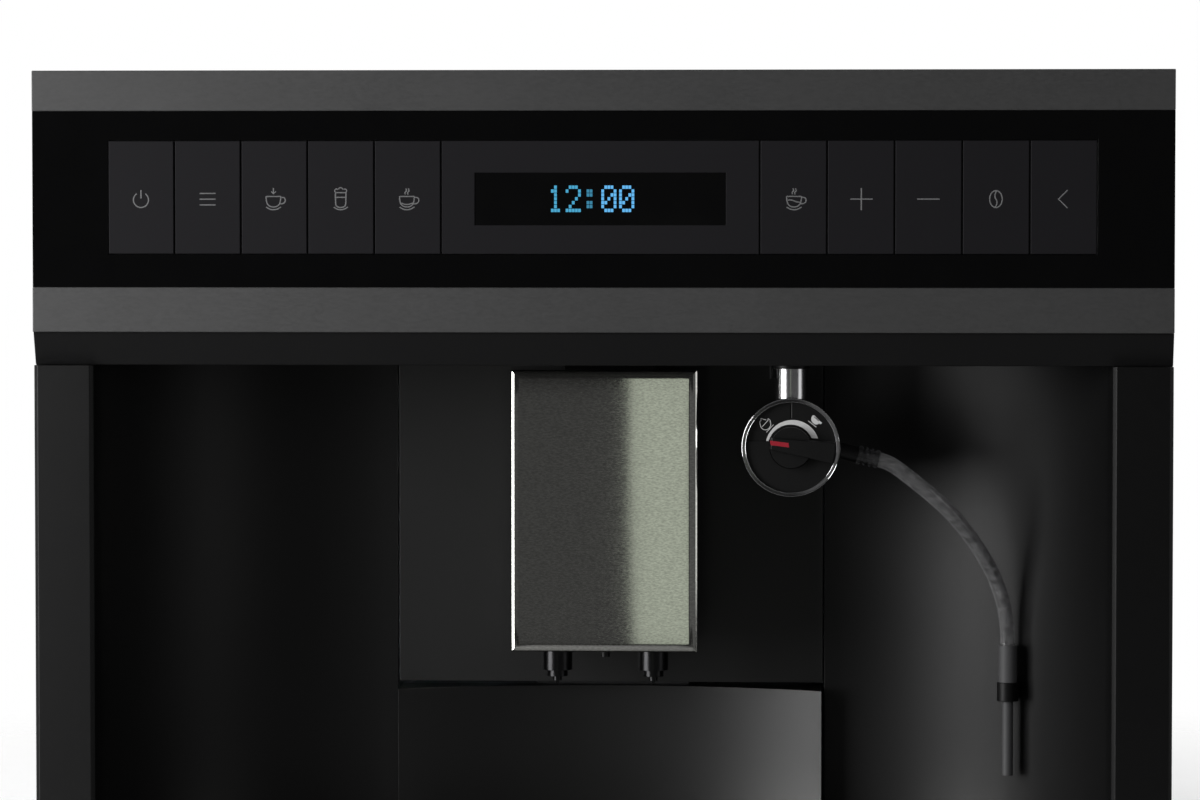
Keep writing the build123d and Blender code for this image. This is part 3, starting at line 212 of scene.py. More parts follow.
def handlingGroup():  # broad faint marks from wiping and touching
    tree, source, sink = newGroup(
        "handling",
        [("Vector", "Vector", (0, 0, 0)), ("Scale", "Float", 14.0), ("Amount", "Float", 0.1)],
        [("Marks", "Float")],
    )
    noise = addNode(tree, "ShaderNodeTexNoise")
    tree.links.new(source.outputs["Vector"], noise.inputs["Vector"])
    tree.links.new(source.outputs["Scale"], noise.inputs["Scale"])
    noise.inputs["Detail"].default_value = effects["marksDetail"]
    noise.inputs["Roughness"].default_value = effects["marksRoughness"]
    soft = mapRange(tree, noise.outputs["Fac"], *effects["marksRange"], 0.0, 1.0)
    tree.links.new(mathNode(tree, "MULTIPLY", soft, source.outputs["Amount"]), sink.inputs["Marks"])
    return tree


def dustGroup():  # a thin film on faces that look up
    tree, source, sink = newGroup(
        "dust",
        [("Vector", "Vector", (0, 0, 0)), ("Amount", "Float", 0.1)],
        [("Dust", "Float")],
    )
    geometry = addNode(tree, "ShaderNodeNewGeometry")
    split = addNode(tree, "ShaderNodeSeparateXYZ")
    tree.links.new(geometry.outputs["Normal"], split.inputs[0])
    upward = mapRange(tree, split.outputs["Z"], effects["dustSlope"], 1.0, 0.0, 1.0)
    noise = addNode(tree, "ShaderNodeTexNoise")
    tree.links.new(source.outputs["Vector"], noise.inputs["Vector"])
    noise.inputs["Scale"].default_value = effects["dustScale"]
    noise.inputs["Detail"].default_value = effects["dustDetail"]
    patchy = mathNode(tree, "MULTIPLY", upward, noise.outputs["Fac"])
    tree.links.new(mathNode(tree, "MULTIPLY", patchy, source.outputs["Amount"]), sink.inputs["Dust"])
    return tree


groups = {"grain": grainGroup(), "edge": edgeGroup(), "handling": handlingGroup(), "dust": dustGroup()}


# materials
usualLook = {  # what a finish has where its own look says nothing else
    "contrast": 2.0, "edge": 0.4, "edgeStrength": 1.0, "marks": 0.06, "dust": 0.1,
    "dustColor": (0.34, 0.33, 0.31), "bump": 0.1, "bumpDepth": 0.02, "metallic": 0.0, "ior": 1.5,
    "transmission": 0.0, "anisotropic": 0.0, "brushTurn": 0.0, "grainTone": 1.15, "edgeTone": 1.3,
}
plainSockets = {"metallic": "Metallic", "ior": "IOR", "transmission": "Transmission Weight",
                "anisotropic": "Anisotropic", "brushTurn": "Anisotropic Rotation"}


def lighter(color, times):
    return tuple(min(1.0, part * times) for part in color)


def surface(name, look):  # a finish with grain, softened edges, handling marks and dust
    look = {**usualLook, **look}
    lines = look["lines"] if isinstance(look["lines"], tuple) else (look["lines"],) * 3
    material = bpy.data.materials.new(name)
    material.use_nodes = True
    tree = material.node_tree
    shader = tree.nodes["Principled BSDF"]
    place = addNode(tree, "ShaderNodeTexCoord").outputs["Object"]
    grain = useGroup(tree, groups["grain"], Vector=place, Lines=lines, Contrast=look["contrast"])
    edge = useGroup(tree, groups["edge"], Radius=look["edge"] * mm, Strength=look["edgeStrength"])
    marks = useGroup(tree, groups["handling"], Vector=place, Amount=look["marks"])
    dust = useGroup(tree, groups["dust"], Vector=place, Amount=look["dust"])
    second = look.get("color2", lighter(look["color"], look["grainTone"]))
    color = mixColor(tree, grain["Grain"], look["color"], second)
    worn = look.get("edgeColor", lighter(look["color"], look["edgeTone"]))
    color = mixColor(tree, edge["Edge"], color, worn)
    color = mixColor(tree, dust["Dust"], color, look["dustColor"])
    tree.links.new(color, shader.inputs["Base Color"])
    rough = mapRange(tree, grain["Grain"], 0.0, 1.0, *look["roughness"])
    rough = mathNode(tree, "ADD", rough, marks["Marks"], clamp=True)
    tree.links.new(rough, shader.inputs["Roughness"])
    bump = addNode(tree, "ShaderNodeBump")
    bump.inputs["Strength"].default_value = look["bump"]
    bump.inputs["Distance"].default_value = look["bumpDepth"] * mm
    tree.links.new(grain["Grain"], bump.inputs["Height"])
    tree.links.new(edge["Normal"], bump.inputs["Normal"])
    tree.links.new(bump.outputs[0], shader.inputs["Normal"])
    for key, socket in plainSockets.items():
        shader.inputs[socket].default_value = look[key]
    return material


def tint(material, amount, color):  # mixes one more colour over the finish
    tree = material.node_tree
    base = tree.nodes["Principled BSDF"].inputs["Base Color"]
    tree.links.new(mixColor(tree, amount, base.links[0].from_socket, color), base)


spangle = {"scale": 90.0, "amount": 0.3, "color": (0.48, 0.5, 0.52)}  # crystals of the zinc


def galvanisedSteel():
    look = {"color": (0.26, 0.27, 0.28), "color2": (0.35, 0.36, 0.37), "lines": 60, "contrast": 1.5,
            "roughness": (0.45, 0.6), "metallic": 0.75, "bump": 0.05, "edge": 0.6, "dust": 0.25}
    material = surface("galvanisedSteel", look)
    tree = material.node_tree
    place = addNode(tree, "ShaderNodeTexCoord").outputs["Object"]
    cells = addNode(tree, "ShaderNodeTexVoronoi", feature="F1")
    cells.inputs["Scale"].default_value = spangle["scale"]
    tree.links.new(place, cells.inputs["Vector"])
    tone = addNode(tree, "ShaderNodeSeparateColor")
    tree.links.new(cells.outputs["Color"], tone.inputs[0])
    tint(material, mapRange(tree, tone.outputs[0], 0.0, 1.0, 0.0, spangle["amount"]), spangle["color"])
    return material


# painted rim light: how far the hose's colour lightens where it turns from the view
paintedRimLight = {"facing": (0.25, 0.8), "amount": 0.6, "color": (0.55, 0.55, 0.56)}


def clearSilicone():  # the colour is painted lighter towards the tube's edges, where its face turns from the view: painted light for the wall seen edge-on, while the milk duct stays darker in the middle
    look = {"color": (0.14, 0.14, 0.143), "color2": (0.38, 0.38, 0.385), "lines": (150, 900, 420),
            "contrast": 3.0, "roughness": (0.07, 0.16), "transmission": 0.72, "ior": 1.41, "bump": 0.05,
            "dust": 0.0, "edge": 0.2}
    material = surface("clearSilicone", look)
    tree = material.node_tree
    facing = addNode(tree, "ShaderNodeLayerWeight").outputs["Facing"]
    # painted rim light mixed over the silicone's colour
    tint(material, mapRange(tree, facing, *paintedRimLight["facing"], 0.0, paintedRimLight["amount"]), paintedRimLight["color"])
    return material


def clockDot(name, color, strength, unlit=0.04):
    material = surface(name, {"color": tuple(part * unlit for part in color), "lines": 900,
                              "roughness": (0.3, 0.4), "dust": 0.0, "edge": 0.05})
    shader = material.node_tree.nodes["Principled BSDF"]
    shader.inputs["Emission Color"].default_value = (*color, 1.0)
    shader.inputs["Emission Strength"].default_value = strength
    return material


# lines are the grain's waves per metre along x, y and z, or one number for all three
looks = {
    "screw_steel": {"color": (0.42, 0.42, 0.43), "lines": 900, "roughness": (0.25, 0.4),
                    "metallic": 1.0, "bump": 0.1, "edge": 0.2},
    "graphite_trim": {"color": (0.072, 0.072, 0.0725), "color2": (0.081, 0.081, 0.0815),
                      "lines": (420, 700, 900), "roughness": (0.42, 0.5), "metallic": 0.6, "bump": 0.12,
                      "edge": 0.5, "edgeColor": (0.11, 0.11, 0.11), "marks": 0.05, "dust": 0.05},
    "black_glass": {"color": (0.002, 0.002, 0.0021), "lines": 60, "roughness": (0.03, 0.05),
                    "bump": 0.0, "edge": 0.2, "marks": 0.03, "dust": 0.02},
    "key_grey": {"color": (0.0083, 0.0079, 0.0094), "color2": (0.0098, 0.0093, 0.0109), "ior": 1.22,
                 "lines": 1500, "roughness": (0.55, 0.65), "bump": 0.08, "edge": 0.3,
                 "edgeColor": (0.02, 0.02, 0.021), "dust": 0.03},
    "display_black": {"color": (0.0022, 0.0022, 0.0023), "lines": 60, "roughness": (0.08, 0.12),
                      "bump": 0.0, "edge": 0.2, "marks": 0.03, "dust": 0.02},
    "skirt_black": {"color": (0.005, 0.005, 0.0052), "lines": 700, "roughness": (0.4, 0.5), "ior": 1.28,
                    "bump": 0.08, "edge": 0.4, "edgeColor": (0.03, 0.03, 0.03), "dust": 0.05},
    "bay_black": {"color": (0.0018, 0.0018, 0.0019), "lines": 420, "roughness": (0.42, 0.46),
                  "bump": 0.03, "edge": 0.4, "edgeColor": (0.01, 0.01, 0.01), "marks": 0.02,
                  "dust": 0.03, "ior": 1.5},
    "wall_black": {"color": (0.0018, 0.0018, 0.0019), "lines": 420, "roughness": (0.42, 0.46),
                   "bump": 0.03, "edge": 0.4, "edgeColor": (0.01, 0.01, 0.01), "marks": 0.02,
                   "dust": 0.03, "ior": 1.34},
    "spout_steel": {"color": (0.45, 0.45, 0.425), "color2": (0.70, 0.70, 0.66), "lines": (600, 650, 1900),
                    "contrast": 3.0, "roughness": (0.062, 0.087), "metallic": 1.0, "bump": 0.12,
                    "bumpDepth": 0.003, "edge": 0.1, "marks": 0.01, "anisotropic": 0.85, "brushTurn": 0.25,
                    "dust": 0.0},
    "bright_chrome": {"color": (0.52, 0.52, 0.53), "lines": 40, "roughness": (0.04, 0.07),
                      "metallic": 1.0, "bump": 0.02, "edge": 0.2, "marks": 0.03, "dust": 0.0},
    "frother_black": {"color": (0.004, 0.004, 0.0042), "lines": 1500, "ior": 1.35,
                      "roughness": (0.34, 0.44), "bump": 0.1, "edge": 0.25,
                      "edgeColor": (0.03, 0.03, 0.03), "dust": 0.02},
    "dark_chrome": {"color": (0.03, 0.03, 0.031), "lines": 40, "roughness": (0.22, 0.27),
                    "metallic": 1.0, "bump": 0.02, "edge": 0.2, "marks": 0.03, "dust": 0.0},
    "smoke_plastic": {"color": (0.04, 0.04, 0.042), "color2": (0.13, 0.13, 0.135), "lines": (420, 300, 90),
                      "contrast": 3.0, "roughness": (0.06, 0.12), "transmission": 0.75, "ior": 1.52,
                      "bump": 0.05, "edge": 0.3, "dust": 0.05},
    "grey_plastic": {"color": (0.05, 0.05, 0.052), "lines": 1200, "roughness": (0.5, 0.62),
                     "bump": 0.25, "edge": 0.4, "dust": 0.15},
    "clear_plastic": {"color": (0.78, 0.83, 0.85), "lines": 60, "roughness": (0.05, 0.1),
                      "transmission": 0.92, "ior": 1.49, "bump": 0.02, "edge": 0.4, "dust": 0.05},
    "board_green": {"color": (0.012, 0.09, 0.035), "color2": (0.02, 0.13, 0.05), "lines": 300,
                    "roughness": (0.35, 0.5), "bump": 0.2, "edge": 0.3},
    "motor_steel": {"color": (0.16, 0.165, 0.17), "lines": 400, "roughness": (0.35, 0.5),
                    "metallic": 0.8, "bump": 0.1, "edge": 0.5, "edgeColor": (0.4, 0.4, 0.4)},
    "burr_steel": {"color": (0.4, 0.4, 0.41), "lines": (300, 300, 2600), "roughness": (0.22, 0.36),
                   "metallic": 1.0, "bump": 0.2, "edge": 0.3},
    "cast_aluminium": {"color": (0.42, 0.42, 0.43), "lines": 700, "roughness": (0.45, 0.6),
                       "metallic": 1.0, "bump": 0.6, "bumpDepth": 0.08, "edge": 0.6},
}
materials = {slot: surface(slot, look) for slot, look in looks.items()}
materials["galvanised_steel"] = galvanisedSteel()
materials["clear_silicone"] = clearSilicone()
ownLooks = {  # finishes of single pieces
    "printGrey": {"color": (0.135, 0.135, 0.138), "ior": 1.2, "lines": 1500, "roughness": (0.5, 0.6),
                  "edge": 0.02, "dust": 0.0},
    "printWhite": {"color": (0.5, 0.5, 0.5), "lines": 1500, "roughness": (0.45, 0.55), "edge": 0.02,
                   "dust": 0.0},
    "markRed": {"color": (0.27, 0.014, 0.025), "ior": 1.25, "lines": 1500, "roughness": (0.4, 0.5),
                "edge": 0.05, "dust": 0.0},
    # painted highlight of the dial groove's lit wall
    "paintedGrooveHighlight": {"color": (0.055, 0.055, 0.056), "lines": 1500, "roughness": (0.5, 0.6), "edge": 0.02,
                   "dust": 0.0},
    "pipeChrome": {"color": (0.55, 0.55, 0.56), "lines": (300, 300, 40), "metallic": 1.0,
                   "roughness": (0.18, 0.24), "bump": 0.02, "edge": 0.2, "dust": 0.0},
    "smokeFrosted": {"color": (0.035, 0.035, 0.037), "lines": 1200, "ior": 1.36, "roughness": (0.42, 0.52),
                     "transmission": 0.35, "bump": 0.1, "edge": 0.3, "dust": 0.05},
    "groundsBlack": {**looks["bay_black"], "roughness": (0.36, 0.39)},
    "foamBlack": {"color": (0.012, 0.012, 0.012), "lines": 1800, "ior": 1.2, "roughness": (0.85, 0.95),
                  "bump": 0.6, "bumpDepth": 0.2, "dust": 0.05},
}
finishes = {name: surface(name, look) for name, look in ownLooks.items()}
clockLights = {
    "dim": clockDot("clockDim", (0.07, 0.42, 0.68), 0.5),
    "plain": clockDot("clockPlain", (0.07, 0.42, 0.68), 0.88),
    "bright": clockDot("clockBright", (0.12, 0.46, 0.85), 1.0),
}

ownFinish = {"bean_hopper": "smokeFrosted", "hopper_lid": "smokeFrosted", "grounds_front": "groundsBlack"}
slotOf = {part["node"]: part["material_slot"] for part in frame["record"]["subparts"]}
bodyOf = {node: body for body, held in frame["record"]["behaviour"]["bodies"].items() for node in held}


def finishOf(node):
    return finishes[ownFinish[node]] if node in ownFinish else materials[slotOf[node]]


for node in slotOf:
    for materialSlot in nodes[node].material_slots:
        materialSlot.material = finishOf(node)
print("materials", len(materials) + len(finishes))


# softened copies of solids whose edges show
softEdges = {  # node: (edge rounding in mm, steps)
    "upper_trim": (0.45, 3), "lower_trim": (0.45, 3), "panel_skirt": (0.5, 3),
    "display_surround": (0.25, 2), "drawer_front": (0.8, 3),
    "frother_lever": (0.5, 3), "frother_dial": (0.55, 3),
    "tank_body": (0.8, 2), "drip_tray": (0.5, 2),
    "bay_centre_panel": (0.8, 3), "bay_side_left": (0.4, 2), "bay_side_right": (0.4, 2),
    "grounds_front": (0.5, 2), "spout_nozzles": (0.3, 2), "hose_connector": (0.25, 2),
    "suction_tube": (0.3, 2),
}
softEdges.update({"key_%02d" % number: (0.12, 2) for number in range(1, 11)})
softening = {"flat": 0.4, "sharp": 28.0, "smooth": 32.0, "evenness": 90}  # the first three in degrees


def evenShading(piece):  # large flat faces keep their own normals beside the small rounding
    weighted = piece.modifiers.new("weighted", "WEIGHTED_NORMAL")
    weighted.keep_sharp = True
    weighted.weight = softening["evenness"]


leverTip = {"reach": 9.8, "slope": 0.9, "behind": 0.6}  # the pointer's end slopes back to its face


def slopeTip(bm):
    middle = middleOf("frother_dial")[0]
    front = min(vert.co.y for vert in bm.verts)
    for vert in bm.verts:
        if vert.co.x < middle - leverTip["reach"] * mm and vert.co.y < front + leverTip["behind"] * mm:
            vert.co.x += leverTip["slope"] * mm


def bevelSharp(bm, rounding, steps=2):
    limit = radians(softening["sharp"])
    sharp = [e for e in bm.edges if len(e.link_faces) == 2 and e.calc_face_angle(0.0) > limit]
    bmesh.ops.bevel(bm, geom=sharp, offset=rounding * mm, offset_type="OFFSET", segments=steps,
                    profile=0.5, affect="EDGES", clamp_overlap=True, material=-1)


def softenedCopy(node, rounding, steps):
    bm = bmesh.new()
    bm.from_mesh(nodes[node].data)
    bmesh.ops.remove_doubles(bm, verts=bm.verts[:], dist=weld)
    bmesh.ops.dissolve_limit(bm, angle_limit=radians(softening["flat"]), verts=bm.verts[:],
                             edges=bm.edges[:])
    if node == "frother_lever":
        slopeTip(bm)
    bevelSharp(bm, rounding, steps)
    bmesh.ops.recalc_face_normals(bm, faces=bm.faces[:])
    mesh = meshFrom(bm, node, softening["smooth"])
    piece = newPiece(node + "_soft", mesh, bodyOf[node], slotOf[node], finishOf(node))
    evenShading(piece)
    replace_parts(piece, node)
    return piece


softened = {node: softenedCopy(node, *edge) for node, edge in softEdges.items()}
print("softened", len(softened), "solids")


# milk hose
milkHose = {
    "diameter": 0.008,
    "route": [  # (x, depth behind the front plane, z)
        (0.14541, 0.0460, 0.25023),
        (0.15076, 0.0460, 0.24895),
        (0.16040, 0.0460, 0.24180),
        (0.17160, 0.0468, 0.23290),
        (0.18240, 0.0496, 0.22320),
        (0.19200, 0.0540, 0.21200),
        (0.20060, 0.0594, 0.19940),
        (0.20820, 0.0648, 0.18560),
        (0.21460, 0.06954, 0.16400),
        (0.21460, 0.06954, 0.15000),
    ],
    "length": 0.1314,
    "stepsRound": 6, "stepsAlong": 24,
}


def addHose():
    curve = bpy.data.curves.new("milkHose", "CURVE")
    curve.dimensions = "3D"
    curve.bevel_depth = milkHose["diameter"] / 2
    curve.bevel_resolution = milkHose["stepsRound"]
    curve.resolution_u = milkHose["stepsAlong"]
    curve.use_fill_caps = True
    spline = curve.splines.new("NURBS")
    route = [(x, frontY + depth, z) for x, depth, z in milkHose["route"]]
    spline.points.add(len(route) - 1)
    for point, place in zip(spline.points, route):
        point.co = (*place, 1.0)
    spline.order_u = 3
    spline.use_endpoint_u = True
    hose = bpy.data.objects.new("milkHoseCord", curve)
    bpy.context.scene.collection.objects.link(hose)
    curve.materials.append(materials["clear_silicone"])
    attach(hose, "machine")
    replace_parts(hose, "milk_hose")


addHose()
print("milk hose laid")


# spout cover: a pressed steel shell with rolled edges and mitred corners
spoutShell = {
    "rolls": [(11.5, 13.0, 4), (4.4, 41.0, 8)],  # radius, end angle, steps: wide at first, then tighter
    "wall": 1.0, "bow": 0.05, "grid": 12, "smooth": 14,
    "near": 1e-6,  # metres within which a point counts as on the rim
}


def rollProfile():  # how far each step of the rolled edge lies out and back
    rings, out, back, start = [], 0.0, 0.0, 0.0
    for radius, end, steps in spoutShell["rolls"]:
        for i in range(1, steps + 1):
            turn = start + (radians(end) - start) * i / steps
            rings.append((out + radius * mm * (sin(turn) - sin(start)),
                          back + radius * mm * (cos(start) - cos(turn))))
        (out, back), start = rings[-1], radians(end)
    return rings


def addSpoutCover():
    low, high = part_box("spout_cover")
    middle = middleOf("spout_cover")
    rings = rollProfile()
    reach = rings[-1][0]
    halfX, halfZ = (high[0] - low[0]) / 2 - reach, (high[2] - low[2]) / 2 - reach
    bm = bmesh.new()
    bmesh.ops.create_grid(bm, x_segments=spoutShell["grid"], y_segments=spoutShell["grid"], size=1.0,
                          matrix=Matrix.Rotation(pi / 2, 4, "X"))
    for vert in bm.verts:  # the flat face bows out a little, as pressed sheet does
        bow = spoutShell["bow"] * mm * (1 - vert.co.x ** 2) * (1 - vert.co.z ** 2)
        vert.co = (vert.co.x * halfX, -bow, vert.co.z * halfZ)
    rim = [e for e in bm.edges if e.is_boundary]
    before = -spoutShell["near"]
    for out, back in rings + [(reach, high[1] - low[1])]:
        rim, verts = extrudeRim(bm, rim)
        for vert in verts:
            if abs(vert.co.x) > halfX + before:
                vert.co.x = (halfX + out) * (1 if vert.co.x > 0 else -1)
            if abs(vert.co.z) > halfZ + before:
                vert.co.z = (halfZ + out) * (1 if vert.co.z > 0 else -1)
            vert.co.y = back
        before = out - spoutShell["near"]
    bmesh.ops.recalc_face_normals(bm, faces=bm.faces[:])
    bmesh.ops.solidify(bm, geom=bm.faces[:], thickness=spoutShell["wall"] * mm)
    bmesh.ops.transform(bm, matrix=Matrix.Translation((middle[0], low[1], middle[2])), verts=bm.verts[:])
    piece = newPiece("spout_shell", meshFrom(bm, "spoutShell", spoutShell["smooth"]), "spout", "spout_steel")
    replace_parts(piece, "spout_cover")


addSpoutCover()
print("spout cover pressed")


# steam pipe of brushed chrome, held at the roof by a black bearing with a hanging catch
steamPipe = {"radius": 8.75, "bore": 6.5, "aboveRoof": 14.0, "bearing": (9.9, 2.6), "catch": (1.5, 6.0, 8.0),
             "edge": 0.3, "steps": 64}
smoothTurned = 40  # turned pieces shade smooth below this angle


def spinUpright(bm, profile, centre, steps):  # profile of (radius, height) about an upright axis
    verts = [bm.verts.new((centre[0] + r * mm, centre[1], z)) for r, z in profile]
    edges = [bm.edges.new(pair) for pair in zip(verts, verts[1:] + verts[:1])]
    bmesh.ops.spin(bm, geom=verts + edges, cent=(*centre, 0.0), axis=(0, 0, 1), angle=2 * pi,
                   steps=steps, use_merge=True)
    bmesh.ops.recalc_face_normals(bm, faces=bm.faces[:])


def addSteamPipe():
    low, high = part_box("steam_pipe")
    centre = (middleOf("frother_ring")[0], middleOf("steam_pipe")[1])
    radius, bore = steamPipe["radius"], steamPipe["bore"]
    bm = bmesh.new()
    spinUpright(bm, [(radius, low[2]), (radius, high[2]), (bore, high[2]), (bore, low[2])], centre,
                steamPipe["steps"])
    pipe = newPiece("steam_pipe_tube", meshFrom(bm, "steamPipe", smoothTurned), "machine", "bright_chrome",
                    finishes["pipeChrome"])
    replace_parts(pipe, "steam_pipe")
    roof = high[2] - steamPipe["aboveRoof"] * mm
    outer, height = steamPipe["bearing"]
    foot = roof - height * mm
    bm = bmesh.new()
    spinUpright(bm, [(outer, foot), (outer, roof), (radius, roof), (radius, foot)], centre,
                steamPipe["steps"])
    wide, deep, tall = (size * mm for size in steamPipe["catch"])
    left = centre[0] - outer * mm - wide / 2
    addBox(bm, (wide, deep, tall), (left, centre[1], roof - tall / 2))
    bevelSharp(bm, steamPipe["edge"])
    newPiece("pipe_bearing", meshFrom(bm, "pipeBearing", smoothTurned), "machine", "frother_black")


addSteamPipe()
print("steam pipe spun")


# frother ring: chrome bezel with two beads
bezel = {
    "profile": [  # (radius, depth behind the ring's front) in millimetres
        (23.75, 13.0), (23.75, 0.7), (23.8, 0.52), (23.93, 0.45), (24.06, 0.52), (24.1, 0.95), (25.4, 0.95),
        (25.42, 0.3), (25.5, 0.08), (25.67, 0.0), (25.84, 0.08), (25.93, 0.3), (25.95, 0.8), (25.95, 13.0),
    ],
    "steps": 128,
}


def addBezel():
    x, _, z = middleOf("frother_ring")
    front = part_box("frother_ring")[0][1]
    bm = bmesh.new()
    verts = [bm.verts.new((x + radius * mm, front + depth * mm, z)) for radius, depth in bezel["profile"]]
    edges = [bm.edges.new(pair) for pair in zip(verts, verts[1:] + verts[:1])]
    bmesh.ops.spin(bm, geom=verts + edges, cent=(x, front, z), axis=(0, 1, 0), angle=2 * pi,
                   steps=bezel["steps"], use_merge=True)
    bmesh.ops.recalc_face_normals(bm, faces=bm.faces[:])
    piece = newPiece("frother_bezel", meshFrom(bm, "frotherBezel", smoothTurned), "machine", "bright_chrome")
    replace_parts(piece, "frother_ring")


addBezel()
print("frother bezel spun")


# cover screws with hexagon sockets
coverScrew = {
    "head": 3.6, "height": 2.0, "socket": 1.75, "socketDepth": 1.2, "shank": 2.0, "segments": 24,
    "smooth": 35, "crown": 0.5,
    "crownSteps": ((0.0, 1.0), (0.15, 0.5), (0.5, 0.12), (1.3, 0.0)),  # inwards and below the top, in crowns
}


def looseShells(mesh):  # the boxes of a mesh's separate solids
    bm = bmesh.new()
    bm.from_mesh(mesh)
    bmesh.ops.remove_doubles(bm, verts=bm.verts[:], dist=weld)
    boxes, left = [], set(bm.verts)
    while left:
        shell = [left.pop()]
        for vert in shell:
            for edge in vert.link_edges:
                other = edge.other_vert(vert)
                if other in left:
                    left.discard(other)
                    shell.append(other)
        boxes.append([[side(v.co[axis] for v in shell) for axis in range(3)] for side in (min, max)])
    bm.free()
    return sorted(boxes)


def screwMesh(bm, length):  # upright at the origin, its seat at z = 0
    head, crown, height = coverScrew["head"] * mm, coverScrew["crown"] * mm, coverScrew["height"] * mm
    bmesh.ops.create_circle(bm, cap_ends=False, segments=coverScrew["segments"], radius=head)
    rim = bm.edges[:]
    for inwards, below in coverScrew["crownSteps"]:
        rim, verts = extrudeRim(bm, rim)
        for vert in verts:
            vert.co = (*(vert.co.xy.normalized() * (head - inwards * crown)), height - below * crown)
    socket = bmesh.ops.create_circle(bm, cap_ends=False, segments=6, radius=coverScrew["socket"] * mm,
                                     matrix=Matrix.Translation((0, 0, height)))["verts"]
    socketRim = list(dict.fromkeys(e for v in socket for e in v.link_edges))
    bmesh.ops.bridge_loops(bm, edges=rim + socketRim)
    made = bmesh.ops.extrude_edge_only(bm, edges=socketRim)["geom"]
    floor = [v for v in made if isinstance(v, bmesh.types.BMVert)]
    bmesh.ops.translate(bm, vec=(0, 0, -coverScrew["socketDepth"] * mm), verts=floor)
    bmesh.ops.contextual_create(bm, geom=floor)
    under = bmesh.ops.create_circle(bm, cap_ends=False, segments=coverScrew["segments"],
                                    radius=coverScrew["shank"] * mm)["verts"]
    shankRim = list(dict.fromkeys(e for v in under for e in v.link_edges))
    seat = [e for e in bm.edges if e.is_boundary and e not in shankRim]
    bmesh.ops.bridge_loops(bm, edges=seat + shankRim)
    made = bmesh.ops.extrude_edge_only(bm, edges=shankRim)["geom"]
    tip = [v for v in made if isinstance(v, bmesh.types.BMVert)]
    bmesh.ops.translate(bm, vec=(0, 0, -length), verts=tip)
    bmesh.ops.contextual_create(bm, geom=tip)


def addScrews():
    bm = bmesh.new()
    for low, high in looseShells(nodes["cover_screws"].data):
        one = bmesh.new()
        long = [high[i] - low[i] for i in range(3)]
        along = long.index(max(long))
        seat = Vector([(low[i] + high[i]) / 2 for i in range(3)])
        seat[along] = high[along] - coverScrew["height"] * mm
        screwMesh(one, long[along] - coverScrew["height"] * mm)
        turn = Matrix.Rotation(-pi / 2, 4, "X") if along == 1 else Matrix.Identity(4)
        bmesh.ops.transform(one, matrix=Matrix.Translation(seat) @ turn, verts=one.verts[:])
        part = bpy.data.meshes.new("screw")
        one.to_mesh(part)
        one.free()
        bm.from_mesh(part)
        bpy.data.meshes.remove(part)
    bmesh.ops.recalc_face_normals(bm, faces=bm.faces[:])
    mesh = meshFrom(bm, "socketScrews", coverScrew["smooth"])
    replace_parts(newPiece("socket_screws", mesh, "machine", "screw_steel"), "cover_screws")


addScrews()
print("cover screws made")


# dust filter behind the vent slots of the rear cover
ventFilter = {"size": (136.0, 3.5, 80.0), "middle": 250.0, "gap": 0.2, "edge": 0.8, "smooth": 40}


def addVentFilter():
    wide, thick, tall = (size * mm for size in ventFilter["size"])
    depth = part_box("rear_cover")[0][1] - ventFilter["gap"] * mm - thick / 2
    bm = bmesh.new()
    addBox(bm, (wide, thick, tall), (middleOf("rear_cover")[0], depth, ventFilter["middle"] * mm))
    bevelSharp(bm, ventFilter["edge"])
    newPiece("vent_filter", meshFrom(bm, "ventFilter", ventFilter["smooth"]), "machine", "grey_plastic",
             finishes["foamBlack"])


addVentFilter()
print("vent filter fitted")


# printed lines and the clock
ink = {"flatness": 0.12, "stepsRound": 1, "stepsAlong": 6}


def inkMesh(strokes, width, centre, depth):
    # strokes are soft or hard lists of (x, z) in millimetres round the centre
    curve = bpy.data.curves.new("ink", "CURVE")
    curve.dimensions = "3D"
    curve.bevel_depth = width / 2 * mm
    curve.bevel_resolution = ink["stepsRound"]
    curve.resolution_u = ink["stepsAlong"]
    curve.use_fill_caps = True
    for kind, points in strokes:
        spline = curve.splines.new("NURBS" if kind == "soft" else "POLY")
        spline.points.add(len(points) - 1)
        for point, (x, z) in zip(spline.points, points):
            point.co = (x * mm, 0.0, z * mm, 1.0)
        if kind == "soft":
            spline.order_u = 3
            spline.use_endpoint_u = True
    drawn = bpy.data.objects.new("ink", curve)
    mesh = bpy.data.meshes.new_from_object(drawn)
    bpy.data.objects.remove(drawn)
    place = Matrix.Translation((centre[0], frontY + depth, centre[1]))
    mesh.transform(place @ Matrix.Diagonal((1.0, ink["flatness"], 1.0, 1.0)))
    return mesh


def arcPoints(x, z, radius, start, end, count=9, squash=1.0):
    angles = [radians(start + (end - start) * i / (count - 1)) for i in range(count)]
    return [(x + radius * cos(a), z + radius * squash * sin(a)) for a in angles]


def cupStrokes(shift=0.0):
    bowl = [(-3.85, 0.5), (-3.8, -2.5), (-2.3, -4.6), (0.0, -5.1), (2.3, -4.6), (3.8, -2.5), (3.85, 0.5)]
    strokes = [
        ("soft", bowl),
        ("hard", [(-3.85, 0.5), (3.85, 0.5)]),
        ("soft", [(3.7, 0.0), (5.2, 0.2), (6.3, -0.8), (6.1, -2.6), (4.6, -3.4), (3.1, -3.3)]),
        ("soft", [(-3.9, -4.95), (-2.3, -6.1), (0.0, -6.5), (2.3, -6.1), (3.9, -4.95)]),
    ]
    return [(kind, [(x + shift, z) for x, z in points]) for kind, points in strokes]


def steamStrokes(shift=0.0):
    wisp = [(-0.75, 1.6), (-1.3, 2.5), (0.1, 3.4), (-0.6, 4.7)]
    return [("soft", [(x + shift + step, z) for x, z in wisp]) for step in (0.0, 1.35)]


